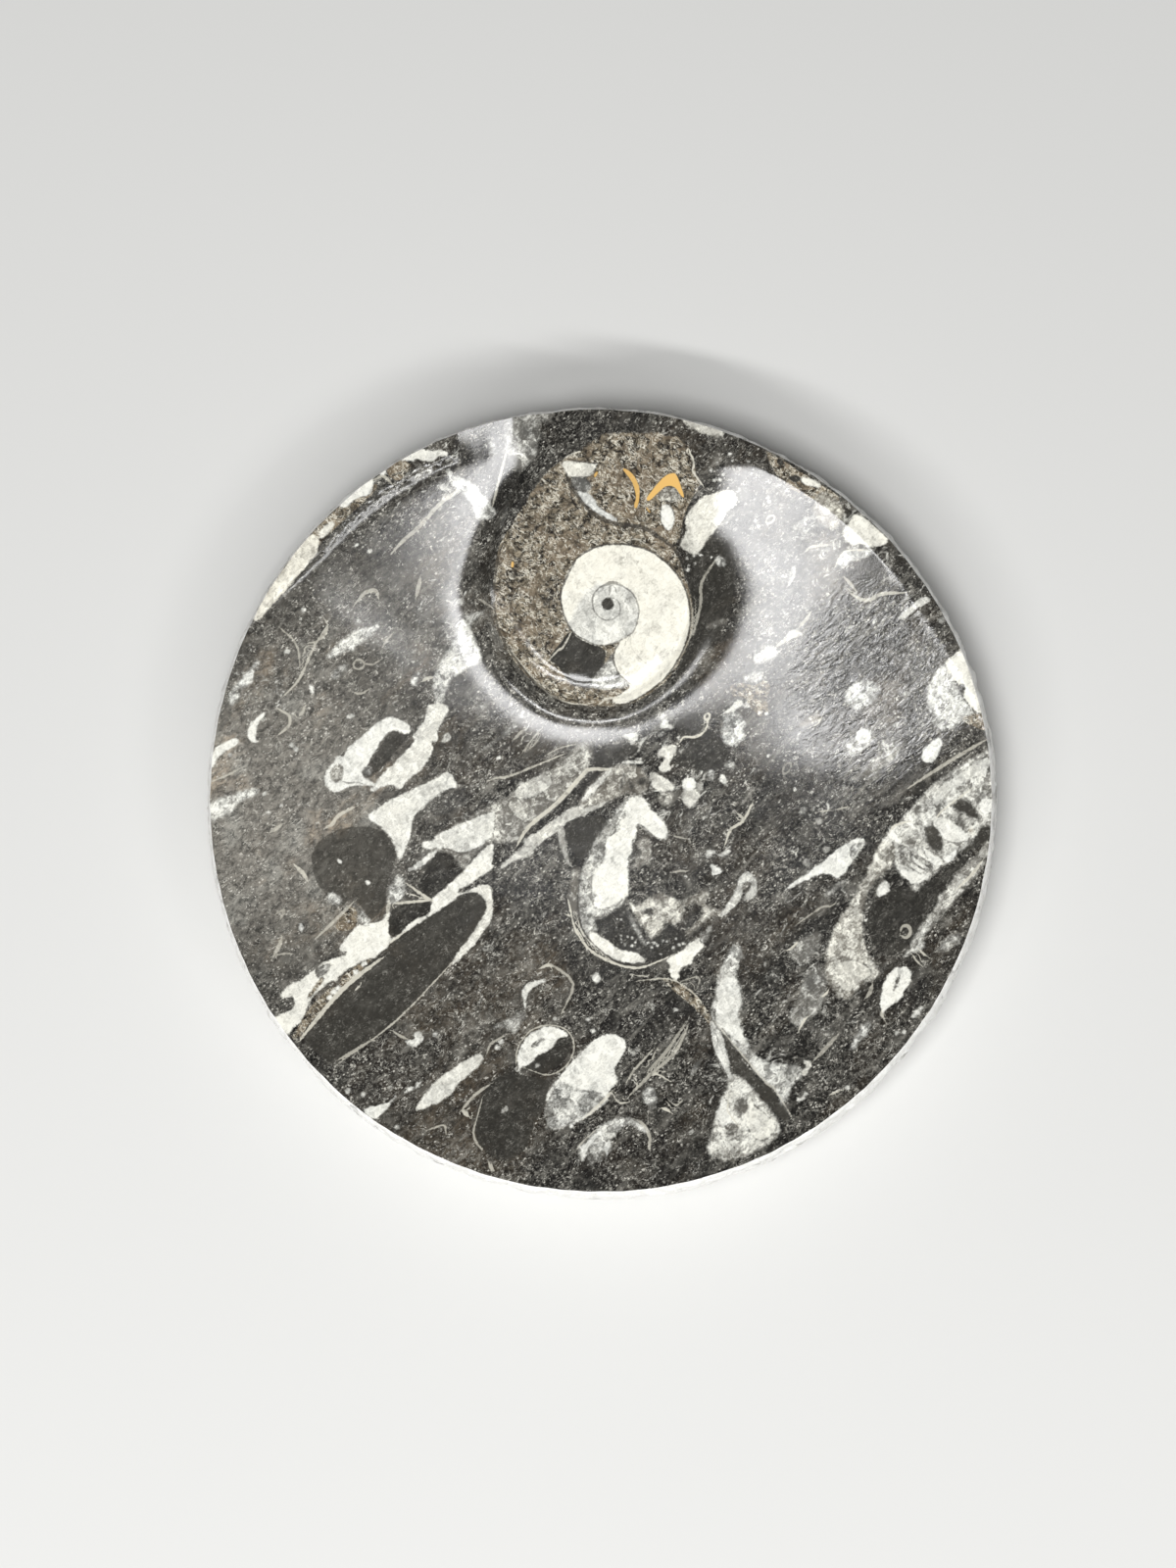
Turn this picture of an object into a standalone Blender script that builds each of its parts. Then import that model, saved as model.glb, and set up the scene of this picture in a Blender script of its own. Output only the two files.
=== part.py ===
"""A round dish carved from one slab of dark fossil limestone.

The slab keeps its full thickness in the boss, which follows the spiral shell of a goniatite,
in the neck that joins the boss to the back of the rim, and in a flat rim that narrows away
towards the front. Everything inside is hollowed to a shallow basin with a lobe each side of
the boss. The side is pitched rough by hand and the underside is sawn flat.

The dish stands on Z = 0 with its centre over the origin. +Y points to the back, where the
boss joins the rim, and +X to the right.
"""

import math

import bmesh
import bpy
import numpy as np
from mathutils import Vector, geometry, kdtree, noise

# Driving dimensions, in metres.
MM = 0.001
DISH_RADIUS = 100.0 * MM
SLAB_THICKNESS = 22.0 * MM
BASIN_DEPTH = 10.5 * MM

# The hand-cut outline is a little out of round: lobes, how far each stands out, and where.
OUTLINE_LOBES = ((2, 0.55 * MM, 120.0), (3, 0.35 * MM, 1.0), (4, 0.15 * MM, 24.0))

# The flat rim, by angle round the dish from +X, in degrees.
RIM_WIDTH = 5.0 * MM
RIM_STARTS = (6.0, 30.0)
RIM_ENDS = (136.0, 158.0)

# The valley that leaves the basin between the boss and the left part of the rim.
VALLEY_ANGLE = 97.0
VALLEY_SPREAD = 5.0
VALLEY_REACH = 14.0 * MM

# The bowl's slope down from the rim, and the small step along its back left edge.
BOWL_REACH = 74.0 * MM
BOWL_POWER = 2.2
STEP_DEPTH = 1.3 * MM
STEP_WIDTH = 0.9 * MM
STEP_STARTS = (100.0, 108.0)
STEP_ENDS = (144.0, 156.0)

# The shell's centre, which the boss winds round.
BOSS_CENTRE = (1.9 * MM, 51.4 * MM)

# The boss's wall falls away over this width: steep on the left, wider on the right.
WALL_WIDTH = 3.0 * MM
WALL_WIDER = 4.0 * MM
WALL_WIDEST_ANGLE = 15.0

# The top of the boss is ground down towards its front edge, centred on this angle.
ROLL_DROP = 2.4 * MM
ROLL_WIDTH = 4.6 * MM
ROLL_POWER = 1.3
ROLL_ANGLE = 265.0
ROLL_FADES = (-0.1, 0.7)

# The crest of the boss and its neck, clockwise from the back edge, in millimetres from
# the shell's centre. It opens with the growth of the spiral, then straightens into the
# neck. The first two points and the last two lie past the dish's edge.
CREST_MM = (
    (-3.5, 53.0),
    (-5.7, 46.5),
    (-13.0, 40.2),
    (-17.7, 33.5),
    (-25.0, 21.2),
    (-29.3, 7.0),
    (-29.9, 0.0),
    (-27.5, -9.0),
    (-20.7, -18.2),
    (-10.5, -24.6),
    (2.3, -25.3),
    (12.3, -20.0),
    (19.0, -11.8),
    (21.5, -1.2),
    (19.3, 8.5),
    (17.9, 16.0),
    (19.9, 24.6),
    (26.5, 31.8),
    (38.5, 37.0),
    (53.5, 44.0),
    (27.5, 62.0),
)

# The rough side, from under the polished edge to the trimmed foot: share of the height
# there, and how far the stone stands out past the polished edge.
SIDE_PROFILE = (
    (0.95, 0.6 * MM),
    (0.78, 1.4 * MM),
    (0.58, 1.7 * MM),
    (0.36, 1.5 * MM),
    (0.13, 0.4 * MM),
    (0.0, -1.2 * MM),
)

# The scars of the flakes struck off the side. They are shallow at the foot.
SCAR_SIZE = 12.0 * MM
SCAR_DEPTH = 1.8 * MM
SCAR_FULL_AT = 0.25

# Points that carry the surface: how many on the edge, and the gaps between the others.
EDGE_POINTS = 216
COARSE = 4.6 * MM
FINE = 2.1 * MM
WALL_REACH = 9.0 * MM
GRID_CLEARANCE = 0.62
SPANS_PER_KNOT = 8
FULL_TURN = 360.0

STONE_COLOUR = (0.035, 0.033, 0.030, 1.0)
STONE_ROUGHNESS = 0.32
SMOOTH_BELOW = 30.0


def smooth(low, high, value):
    """Rises from 0 at low to 1 at high, level at both ends."""
    share = np.clip((value - low) / (high - low), 0.0, 1.0)
    return share * share * (3.0 - 2.0 * share)


def curve_through(knots, spans):
    """A smooth closed curve through the knots, with this many straight spans to each."""
    before = np.roll(knots, 1, 0)
    after = np.roll(knots, -1, 0)
    last = np.roll(knots, -2, 0)
    slope = after - before
    bend = 2.0 * before - 5.0 * knots + 4.0 * after - last
    twist = 3.0 * knots - before - 3.0 * after + last
    steps = np.arange(spans) / spans
    curve = [knots + 0.5 * (slope * t + bend * t**2 + twist * t**3) for t in steps]
    return np.stack(curve, axis=1).reshape(-1, 2)


def distance_outside(points, loop):
    """Distance of each point from a closed loop: positive outside it, negative inside."""
    nearest = np.full(len(points), np.inf)
    inside = np.zeros(len(points), bool)
    for start, end in zip(loop, np.roll(loop, -1, 0)):
        run = end - start
        along = np.clip(((points - start) @ run) / (run @ run), 0.0, 1.0)
        gap = points - start - along[:, None] * run
        nearest = np.minimum(nearest, np.hypot(gap[:, 0], gap[:, 1]))
        spans = (start[1] > points[:, 1]) != (end[1] > points[:, 1])
        if run[1] != 0.0:
            crossing = start[0] + (points[:, 1] - start[1]) * run[0] / run[1]
            inside ^= spans & (points[:, 0] < crossing)
    return np.where(inside, -nearest, nearest)


def polar(points):
    """Angle in degrees round the dish, and distance from its centre, of each point."""
    degrees = np.degrees(np.arctan2(points[:, 1], points[:, 0])) % FULL_TURN
    return degrees, np.hypot(points[:, 0], points[:, 1])


def around(degrees, radius):
    """Points at a radius round the dish's centre."""
    turn = np.radians(degrees)
    return np.stack([radius * np.cos(turn), radius * np.sin(turn)], axis=-1)


def outline_radius(degrees):
    """Radius of the polished face's edge at an angle round the dish."""
    lobes = sum(size * np.cos(np.radians(n * (degrees - peak))) for n, size, peak in OUTLINE_LOBES)
    return DISH_RADIUS + lobes


def rim_width(degrees):
    """Width of the flat rim. It is negative where the valley cuts out through the edge."""
    flat = RIM_WIDTH * smooth(*RIM_STARTS, degrees) * (1.0 - smooth(*RIM_ENDS, degrees))
    return flat - VALLEY_REACH * np.exp(-(((degrees - VALLEY_ANGLE) / VALLEY_SPREAD) ** 2))


def bowl_share(inwards, degrees):
    """Share of the basin's depth at a distance inwards from the rim."""
    bowl = 1.0 - (1.0 - np.clip(inwards / BOWL_REACH, 0.0, 1.0)) ** BOWL_POWER
    along = smooth(*STEP_STARTS, degrees) * (1.0 - smooth(*STEP_ENDS, degrees))
    down = 1.0 - np.exp(-np.clip(inwards, 0.0, None) / STEP_WIDTH)
    step = STEP_DEPTH / BASIN_DEPTH * along
    return step * down + (1.0 - step) * bowl


def boss_facing(points, degrees):
    """Cosine of the angle between a direction and each point's direction from the boss."""
    x, y = (points - np.array(BOSS_CENTRE)).T
    return np.cos(np.arctan2(y, x) - math.radians(degrees))


def wall_share(outwards, points):
    """Share of the basin's depth at a distance outwards from the boss's crest."""
    width = WALL_WIDTH + WALL_WIDER * np.clip(boss_facing(points, WALL_WIDEST_ANGLE), 0.0, None) ** 2
    return 1.0 - np.exp(-np.clip(outwards, 0.0, None) / width)


def boss_roll(outwards, points):
    """How far the boss's top is ground down towards its front edge."""
    inwards = np.clip(-outwards / ROLL_WIDTH, 0.0, 1.0)
    return ROLL_DROP * smooth(*ROLL_FADES, boss_facing(points, ROLL_ANGLE)) * (1.0 - inwards) ** ROLL_POWER


def surface_height(points, crest):
    """Height of the polished face at each point."""
    degrees, radius = polar(points)
    outwards = distance_outside(points, crest)
    basin = BASIN_DEPTH * bowl_share(outline_radius(degrees) - rim_width(degrees) - radius, degrees)
    wall = wall_share(outwards, points)
    return SLAB_THICKNESS - basin * wall - boss_roll(outwards, points) * (1.0 - wall)


def spaced(line, gap):
    """Points of a line, about gap apart."""
    travelled = np.concatenate([[0.0], np.cumsum(np.hypot(*np.diff(line, axis=0).T))])
    marks = np.linspace(0.0, travelled[-1], max(2, round(travelled[-1] / gap)))
    return np.stack([np.interp(marks, travelled, line[:, axis]) for axis in (0, 1)], axis=1)


def runs(line, kept):
    """The unbroken stretches of a line whose points are kept."""
    starts = np.flatnonzero(np.diff(kept.astype(int), prepend=0) == 1)
    ends = np.flatnonzero(np.diff(kept.astype(int), append=0) == -1)
    return [line[start : end + 1] for start, end in zip(starts, ends) if end > start + 1]


def feature_lines(crest):
    """Lines that the facets follow: the boss's crest and the inner edge of the flat rim."""
    degrees, radius = polar(crest)
    crests = runs(crest, radius < outline_radius(degrees) - 0.3 * MM)
    degrees = np.arange(0.0, FULL_TURN, 0.5)
    rim = around(degrees, outline_radius(degrees) - rim_width(degrees))
    rims = runs(rim, (rim_width(degrees) > 1.2 * MM) & (distance_outside(rim, crest) > FINE))
    return [spaced(line, FINE) for line in crests] + [spaced(line, 1.4 * FINE) for line in rims]


def fill_points(crest, lines):
    """A staggered grid of points, fine along the boss's wall, clear of the edge and the lines."""
    taken = np.concatenate(lines)
    tree = kdtree.KDTree(len(taken))
    for index, (x, y) in enumerate(taken):
        tree.insert((x, y, 0.0), index)
    tree.balance()
    kept = []
    for gap, is_fine in ((FINE, True), (COARSE, False)):
        for number, y in enumerate(np.arange(-DISH_RADIUS, DISH_RADIUS, gap * math.sqrt(0.75))):
            x = np.arange(-DISH_RADIUS, DISH_RADIUS, gap) + 0.5 * gap * (number % 2)
            row = np.stack([x, np.full(len(x), y)], axis=1)
            degrees, radius = polar(row)
            outwards = distance_outside(row, crest)
            by_wall = (outwards > -ROLL_WIDTH) & (outwards < WALL_REACH)
            inside = radius < outline_radius(degrees) - GRID_CLEARANCE * gap
            for x_at, y_at in row[inside & (by_wall == is_fine)]:
                if tree.find((x_at, y_at, 0.0))[2] > GRID_CLEARANCE * gap:
                    kept.append((x_at, y_at))
    return np.array(kept)


def polished_face(mesh):
    """Adds the top of the dish: its plan is triangulated, then lifted to the carved height.

    No primitive or modifier lays facets along both the crest and the rim, so the faces
    come from a triangulation that holds those lines as edges.
    """
    crest = curve_through(np.array(BOSS_CENTRE) + np.array(CREST_MM) * MM, SPANS_PER_KNOT)
    degrees = np.arange(EDGE_POINTS) * FULL_TURN / EDGE_POINTS
    lines = feature_lines(crest)
    plan = np.concatenate([around(degrees, outline_radius(degrees)), *lines, fill_points(crest, lines)])
    links = []
    first = EDGE_POINTS
    for line in lines:
        links += [(first + n, first + n + 1) for n in range(len(line) - 1)]
        first += len(line)
    corners = [Vector(point) for point in plan]
    edge_loop = [list(range(EDGE_POINTS))]
    inside_only = 1
    found = geometry.delaunay_2d_cdt(corners, links, edge_loop, inside_only, 1e-6)
    flat = np.array([tuple(point) for point in found[0]])
    lifted = np.column_stack([flat, surface_height(flat, crest)])
    points = [mesh.verts.new(point) for point in lifted]
    for face in found[2]:
        mesh.faces.new([points[n] for n in face])


def scar(point):
    """Depth of a flake scar as a share: 1 in its middle, 0 on the ridge between two."""
    nearest, second = noise.voronoi(point / SCAR_SIZE)[0][:2]
    return 1.0 - nearest / second


def rough_side(mesh):
    """Draws the edge of the polished face down to the foot in rings, and closes the base."""
    edge_height = mesh.verts.layers.float.new("edge_height")
    ring = [edge for edge in mesh.edges if edge.is_boundary]
    for vertex in {vertex for edge in ring for vertex in edge.verts}:
        vertex[edge_height] = vertex.co.z
    for share, stands_out in SIDE_PROFILE:
        made = bmesh.ops.extrude_edge_only(mesh, edges=ring)["geom"]
        ring = [item for item in made if isinstance(item, bmesh.types.BMEdge)]
        for vertex in [item for item in made if isinstance(item, bmesh.types.BMVert)]:
            turn = math.atan2(vertex.co.y, vertex.co.x)
            edge = outline_radius(math.degrees(turn) % FULL_TURN)
            height = share * vertex[edge_height]
            here = Vector((edge * math.cos(turn), edge * math.sin(turn), height))
            struck = SCAR_DEPTH * scar(here) * min(1.0, share / SCAR_FULL_AT)
            vertex.co = here + here.xy.normalized().to_3d() * (stands_out - struck)
    bmesh.ops.holes_fill(mesh, edges=ring, sides=0)
    mesh.verts.layers.float.remove(edge_height)


def stone_material():
    """Dark polished limestone."""
    material = bpy.data.materials.new("polished_limestone")
    material.use_nodes = True
    shader = material.node_tree.nodes["Principled BSDF"]
    shader.inputs["Base Color"].default_value = STONE_COLOUR
    shader.inputs["Roughness"].default_value = STONE_ROUGHNESS
    shader.inputs["Metallic"].default_value = 0.0
    return material


def make_dish():
    """The whole dish, one piece of stone."""
    mesh = bmesh.new()
    polished_face(mesh)
    rough_side(mesh)
    bmesh.ops.recalc_face_normals(mesh, faces=mesh.faces)
    data = bpy.data.meshes.new("fossil_dish")
    mesh.to_mesh(data)
    mesh.free()
    data.materials.append(stone_material())
    data.shade_smooth()
    data.set_sharp_from_angle(angle=math.radians(SMOOTH_BELOW))
    return bpy.data.objects.new("fossil_dish", data)


def main():
    """Clears the scene and builds the dish in its own collection."""
    for thing in list(bpy.data.objects):
        bpy.data.objects.remove(thing)
    collection = bpy.data.collections.new("fossil_limestone_dish")
    bpy.context.scene.collection.children.link(collection)
    collection.objects.link(make_dish())


main()
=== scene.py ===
"""The looks of a round dish carved from one slab of dark fossil limestone.

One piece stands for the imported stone. Its polished face has the carved height of the solid,
with points gathered where the stone changes, and every fossil that the photograph shows is
held as a distance from its edge, so that its outline stays crisp in the stone's finish.
"""

import logging
import math
from dataclasses import dataclass, field
from enum import Enum
from typing import Any, Iterable, Sequence

import bpy
import numpy as np
from mathutils import Matrix, Vector, geometry, kdtree, noise


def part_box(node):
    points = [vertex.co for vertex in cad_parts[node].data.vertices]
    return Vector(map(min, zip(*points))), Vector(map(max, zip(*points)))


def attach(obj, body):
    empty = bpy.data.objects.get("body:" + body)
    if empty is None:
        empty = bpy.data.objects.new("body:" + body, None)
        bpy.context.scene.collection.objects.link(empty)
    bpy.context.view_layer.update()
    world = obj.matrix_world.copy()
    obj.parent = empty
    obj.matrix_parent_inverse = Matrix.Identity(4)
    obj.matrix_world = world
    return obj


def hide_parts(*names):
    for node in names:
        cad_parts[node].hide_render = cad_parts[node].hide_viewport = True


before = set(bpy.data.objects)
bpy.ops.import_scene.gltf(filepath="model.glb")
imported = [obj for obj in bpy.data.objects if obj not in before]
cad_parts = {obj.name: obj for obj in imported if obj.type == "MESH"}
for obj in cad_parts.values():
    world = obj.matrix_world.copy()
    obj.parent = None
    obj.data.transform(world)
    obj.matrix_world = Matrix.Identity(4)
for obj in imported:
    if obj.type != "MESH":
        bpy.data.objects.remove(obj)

MM = 0.001
FULL_TURN = 360.0
# Points round an ellipse of the photograph.
OVAL_POINTS = 14
# A squared length that counts as none, in metres or pixels.
NO_LENGTH = 1e-12
# Points closer than this many metres are one point to the facets.
SAME_PLACE = 1e-7
# Share of a spot's reach, or of a hair's width, over which it is at its full strength.
SOLID_SHARE = 0.15
Outline = Sequence[float]


def smooth(low: float, high: float, value: np.ndarray) -> np.ndarray:
    """Rises from 0 at low to 1 at high, level at both ends.

    Args:
        low: Where the rise begins.
        high: Where it ends.
        value: The numbers to read it at.

    Returns:
        A share from 0 to 1 for each number.
    """
    share = np.clip((value - low) / (high - low), 0.0, 1.0)
    return share * share * (3.0 - 2.0 * share)


def curve_through(knots: np.ndarray, spans: int, closed: bool = True) -> np.ndarray:
    """A smooth curve through knots.

    Args:
        knots: The points that the curve passes through, one in each row.
        spans: How many straight spans stand for each stretch between two knots.
        closed: Whether the curve returns to its first knot.

    Returns:
        The points of the curve, one in each row.
    """
    if not closed:
        knots = np.vstack([2.0 * knots[0] - knots[1], knots, 2.0 * knots[-1] - knots[-2]])
    before = np.roll(knots, 1, 0)
    after = np.roll(knots, -1, 0)
    last = np.roll(knots, -2, 0)
    slope = after - before
    bend = 2.0 * before - 5.0 * knots + 4.0 * after - last
    twist = 3.0 * knots - before - 3.0 * after + last
    steps = np.arange(spans) / spans
    curve = np.stack([knots + 0.5 * (slope * t + bend * t**2 + twist * t**3) for t in steps], axis=1)
    if closed:
        return curve.reshape(-1, 2)
    return np.vstack([curve[1:-2].reshape(-1, 2), knots[-2]])


def beside(points: np.ndarray, start: np.ndarray, end: np.ndarray) -> tuple[np.ndarray, np.ndarray]:
    """How points lie to a straight span.

    Args:
        points: The points, one in each row.
        start: The span's first end.
        end: The span's other end.

    Returns:
        The share of the span at which it comes nearest to each point, and the way from there
        to the point.
    """
    run = end - start
    along = np.clip(((points - start) @ run) / max(run @ run, NO_LENGTH), 0.0, 1.0)
    return along, points - start - along[:, None] * run


def distance_inside(points: np.ndarray, loop: np.ndarray) -> np.ndarray:
    """How far points lie inside a closed loop.

    Args:
        points: The points, one in each row.
        loop: The points of the loop.

    Returns:
        Distance of each point from the loop: positive inside it, negative outside.
    """
    nearest = np.full(len(points), np.inf)
    inside = np.zeros(len(points), bool)
    for start, end in zip(loop, np.roll(loop, -1, 0)):
        gap = beside(points, start, end)[1]
        nearest = np.minimum(nearest, gap[:, 0] ** 2 + gap[:, 1] ** 2)
        run = end - start
        if run[1] != 0.0:
            spans = (start[1] > points[:, 1]) != (end[1] > points[:, 1])
            crossing = start[0] + (points[:, 1] - start[1]) * run[0] / run[1]
            inside ^= spans & (points[:, 0] < crossing)
    return np.where(inside, np.sqrt(nearest), -np.sqrt(nearest))


def offset_from_line(points: np.ndarray, line: np.ndarray, widths: np.ndarray) -> tuple[np.ndarray, ...]:
    """How far each point lies to the side of an open line.

    Args:
        points: The points, one in each row.
        line: The points of the line.
        widths: The line's half width at each of its points.

    Returns:
        The signed offset across the line, the plain distance, and the half width there.
    """
    nearest = np.full(len(points), np.inf)
    across = np.zeros(len(points))
    width = np.zeros(len(points))
    for start, end, first, last in zip(line[:-1], line[1:], widths[:-1], widths[1:]):
        along, gap = beside(points, start, end)
        run = end - start
        far = np.hypot(gap[:, 0], gap[:, 1])
        closer = far < nearest
        side = np.where(run[0] * gap[:, 1] - run[1] * gap[:, 0] < 0.0, -1.0, 1.0)
        nearest = np.where(closer, far, nearest)
        across = np.where(closer, side * far, across)
        width = np.where(closer, first + along * (last - first), width)
    return across, nearest, width


@dataclass(frozen=True)
class PhotoCamera:
    """The camera that took the photograph, looking almost straight down at the dish.

    Pixels are those of the upright photograph, counted from its upper left corner.

    Attributes:
        distance: Metres from the lens to the target.
        tilt: Degrees by which it leans away from looking straight down.
        azimuth: Direction round the dish in which it leans, in degrees.
        target: The place on the dish that is in the photograph's middle.
        pixel: What a pixel covers at the target.
        width: Pixels across the photograph.
        height: Pixels down the photograph.
        sensor: Length of the sensor in millimetres.
        nearest: Nearest distance that it sees, in metres.
    """

    distance: float = 1.30
    tilt: float = 6.5
    azimuth: float = 293.0
    target: tuple[float, float, float] = (-2.6 * MM, 3.4 * MM, 22.0 * MM)
    pixel: float = 0.25 * MM
    width: int = 1200
    height: int = 1600
    sensor: float = 36.0
    nearest: float = 0.01

    def place(self) -> Matrix:
        """The camera's place, looking at its target with the back of the dish up.

        Returns:
            The place as a matrix.
        """
        tilt, turn = math.radians(self.tilt), math.radians(self.azimuth)
        back = Vector((math.sin(tilt) * math.cos(turn), math.sin(tilt) * math.sin(turn), math.cos(tilt)))
        right = Vector((0.0, 1.0, 0.0)).cross(back).normalized()
        up = back.cross(right)
        turned = Matrix((right, up, back)).transposed().to_4x4()
        return Matrix.Translation(Vector(self.target) + back * self.distance) @ turned

    def lens(self) -> float:
        """Focal length at which one pixel covers its size at the target."""
        return self.sensor * self.distance / (self.pixel * self.height)

    def pixels_of(self, points: np.ndarray) -> np.ndarray:
        """Where the photograph shows points.

        Args:
            points: Places in the scene, one in each row.

        Returns:
            The pixel of each, x and y in a row.
        """
        turned = np.array(self.place().inverted())
        seen = points @ turned[:3, :3].T + turned[:3, 3]
        scale = self.lens() / self.sensor * self.height / -seen[:, 2]
        return np.column_stack([self.width / 2 + seen[:, 0] * scale, self.height / 2 - seen[:, 1] * scale])

    def build(self) -> None:
        """Makes the camera the scene's own."""
        data = bpy.data.cameras.new("photo_camera")
        data.lens = self.lens()
        data.sensor_width = self.sensor
        data.clip_start = self.nearest
        camera = bpy.data.objects.new("photo_camera", data)
        camera.matrix_world = self.place()
        bpy.context.scene.collection.objects.link(camera)
        bpy.context.scene.camera = camera


CAMERA = PhotoCamera()


@dataclass(frozen=True)
class CarvedShape:
    """The carved form of the dish: its outline, rim, basin and boss.

    Angles are in degrees round the dish's centre, except where the boss is named.

    Attributes:
        radius: Mean radius of the polished face.
        basin_depth: How far the basin's floor lies under the rim.
        outline_lobes: For each swelling of the outline, its count, its size and its first peak.
        rim: Width of the flat rim.
        rim_starts: Angles between which the rim begins.
        rim_ends: Angles between which it ends.
        valley_angle: Where the valley beside the neck leaves the basin.
        valley_spread: How many degrees it takes to fade to each side.
        valley_reach: How far it cuts past the outline.
        bowl_reach: How far in from the rim the basin's floor is reached.
        bowl_power: How early the slope drops: 1 for an even slope, more for an early drop.
        step_depth: Height of the small step at the rim's inner edge.
        step_width: Width over which that step falls.
        step_starts: Angles between which the step begins.
        step_ends: Angles between which it ends.
        boss_centre: Middle of the goniatite's boss.
        wall: Width over which the boss's wall falls.
        wall_wider: How much wider the wall is where it is widest.
        wall_widest: Direction from the boss in which it is widest.
        roll_drop: How far the boss's top rolls down to its front edge.
        roll_width: Width of that roll.
        roll_power: How the roll bends: 1 for a plain slope, more for a rounder one.
        roll_angle: Direction from the boss in which the roll is full.
        roll_fades: Cosines from that direction between which the roll begins and is full.
        crest_mm: Knots round the edge of the boss's top and neck, from the boss's centre.
    """

    radius: float = 100.0 * MM
    basin_depth: float = 10.5 * MM
    outline_lobes: tuple = ((2, 0.55 * MM, 120.0), (3, 0.35 * MM, 1.0), (4, 0.15 * MM, 24.0))
    rim: float = 5.0 * MM
    rim_starts: tuple[float, float] = (6.0, 30.0)
    rim_ends: tuple[float, float] = (136.0, 158.0)
    valley_angle: float = 97.0
    valley_spread: float = 5.0
    valley_reach: float = 14.0 * MM
    bowl_reach: float = 74.0 * MM
    bowl_power: float = 2.2
    step_depth: float = 1.3 * MM
    step_width: float = 0.9 * MM
    step_starts: tuple[float, float] = (100.0, 108.0)
    step_ends: tuple[float, float] = (144.0, 156.0)
    boss_centre: tuple[float, float] = (1.9 * MM, 51.4 * MM)
    wall: float = 3.0 * MM
    wall_wider: float = 4.0 * MM
    wall_widest: float = 15.0
    roll_drop: float = 2.4 * MM
    roll_width: float = 4.6 * MM
    roll_power: float = 1.3
    roll_angle: float = 265.0
    roll_fades: tuple[float, float] = (-0.1, 0.7)
    crest_mm: tuple = (
        (-3.5, 53.0), (-5.7, 46.5), (-13.0, 40.2), (-17.7, 33.5), (-25.0, 21.2), (-29.3, 7.0),
        (-29.9, 0.0), (-27.5, -9.0), (-20.7, -18.2), (-10.5, -24.6), (2.3, -25.3), (12.3, -20.0),
        (19.0, -11.8), (21.5, -1.2), (19.3, 8.5), (17.9, 16.0), (19.9, 24.6), (26.5, 31.8),
        (38.5, 37.0), (53.5, 44.0), (27.5, 62.0),
    )

    def thickness(self) -> float:
        """Thickness of the slab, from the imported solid."""
        low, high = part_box("fossil_dish")
        return high.z - low.z

    def outline(self, degrees: np.ndarray) -> np.ndarray:
        """Radius of the polished face's edge.

        Args:
            degrees: Angles round the dish.

        Returns:
            The radius at each.
        """
        lobes = (size * np.cos(np.radians(n * (degrees - peak))) for n, size, peak in self.outline_lobes)
        return self.radius + sum(lobes)

    def rim_width(self, degrees: np.ndarray) -> np.ndarray:
        """Width of the flat rim.

        Args:
            degrees: Angles round the dish.

        Returns:
            The width at each. It is negative where the valley cuts out through the edge.
        """
        flat = self.rim * smooth(*self.rim_starts, degrees) * (1.0 - smooth(*self.rim_ends, degrees))
        return flat - self.valley_reach * np.exp(-(((degrees - self.valley_angle) / self.valley_spread) ** 2))

    def crest(self) -> np.ndarray:
        """The edge of the boss's top and its neck, as a closed loop."""
        return curve_through(np.array(self.boss_centre) + np.array(self.crest_mm) * MM, 24)

    def facing(self, points: np.ndarray, degrees: float) -> np.ndarray:
        """How much points lie in one direction from the boss.

        Args:
            points: Places in the plan, one in each row.
            degrees: The direction.

        Returns:
            The cosine between it and each point's direction.
        """
        x, y = (points - np.array(self.boss_centre)).T
        return np.cos(np.arctan2(y, x) - math.radians(degrees))

    def height(self, points: np.ndarray, inside_crest: np.ndarray) -> np.ndarray:
        """Height of the polished face.

        Args:
            points: Places in the plan, one in each row.
            inside_crest: Distance of each place inside the boss's crest, negative outside.

        Returns:
            The height at each place.
        """
        degrees, radius = polar(points)
        inwards = self.outline(degrees) - self.rim_width(degrees) - radius
        bowl = 1.0 - (1.0 - np.clip(inwards / self.bowl_reach, 0.0, 1.0)) ** self.bowl_power
        along = smooth(*self.step_starts, degrees) * (1.0 - smooth(*self.step_ends, degrees))
        down = 1.0 - np.exp(-np.clip(inwards, 0.0, None) / self.step_width)
        step = self.step_depth / self.basin_depth * along
        basin = self.basin_depth * (step * down + (1.0 - step) * bowl)
        wider = np.clip(self.facing(points, self.wall_widest), 0.0, None) ** 2
        wall = 1.0 - np.exp(-np.clip(-inside_crest, 0.0, None) / (self.wall + self.wall_wider * wider))
        inwards = np.clip(inside_crest / self.roll_width, 0.0, 1.0)
        front = smooth(*self.roll_fades, self.facing(points, self.roll_angle))
        roll = self.roll_drop * front * (1.0 - inwards) ** self.roll_power
        return self.thickness() - basin * wall - roll * (1.0 - wall)


def polar(points: np.ndarray) -> tuple[np.ndarray, np.ndarray]:
    """Angle in degrees round the dish, and distance from its middle, of each point."""
    degrees = np.degrees(np.arctan2(points[:, 1], points[:, 0])) % FULL_TURN
    return degrees, np.hypot(points[:, 0], points[:, 1])


def around(degrees: np.ndarray, radius: np.ndarray) -> np.ndarray:
    """Points at a radius from the dish's middle."""
    turn = np.radians(degrees)
    return np.stack([radius * np.cos(turn), radius * np.sin(turn)], axis=-1)


SHAPE = CarvedShape()


class Kind(Enum):
    """What a mark in the stone is made of. The value is its attribute's name."""

    CALCITE = "calcite"
    GREY = "grey_calcite"
    DARK = "dark_filling"
    SHELLY = "shelly_filling"
    OCHRE = "ochre_stain"
    LINE = "pale_line"
    SEAM = "dark_line"


CALCITE, GREY, DARK, SHELLY, OCHRE, LINE, SEAM = Kind


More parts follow.
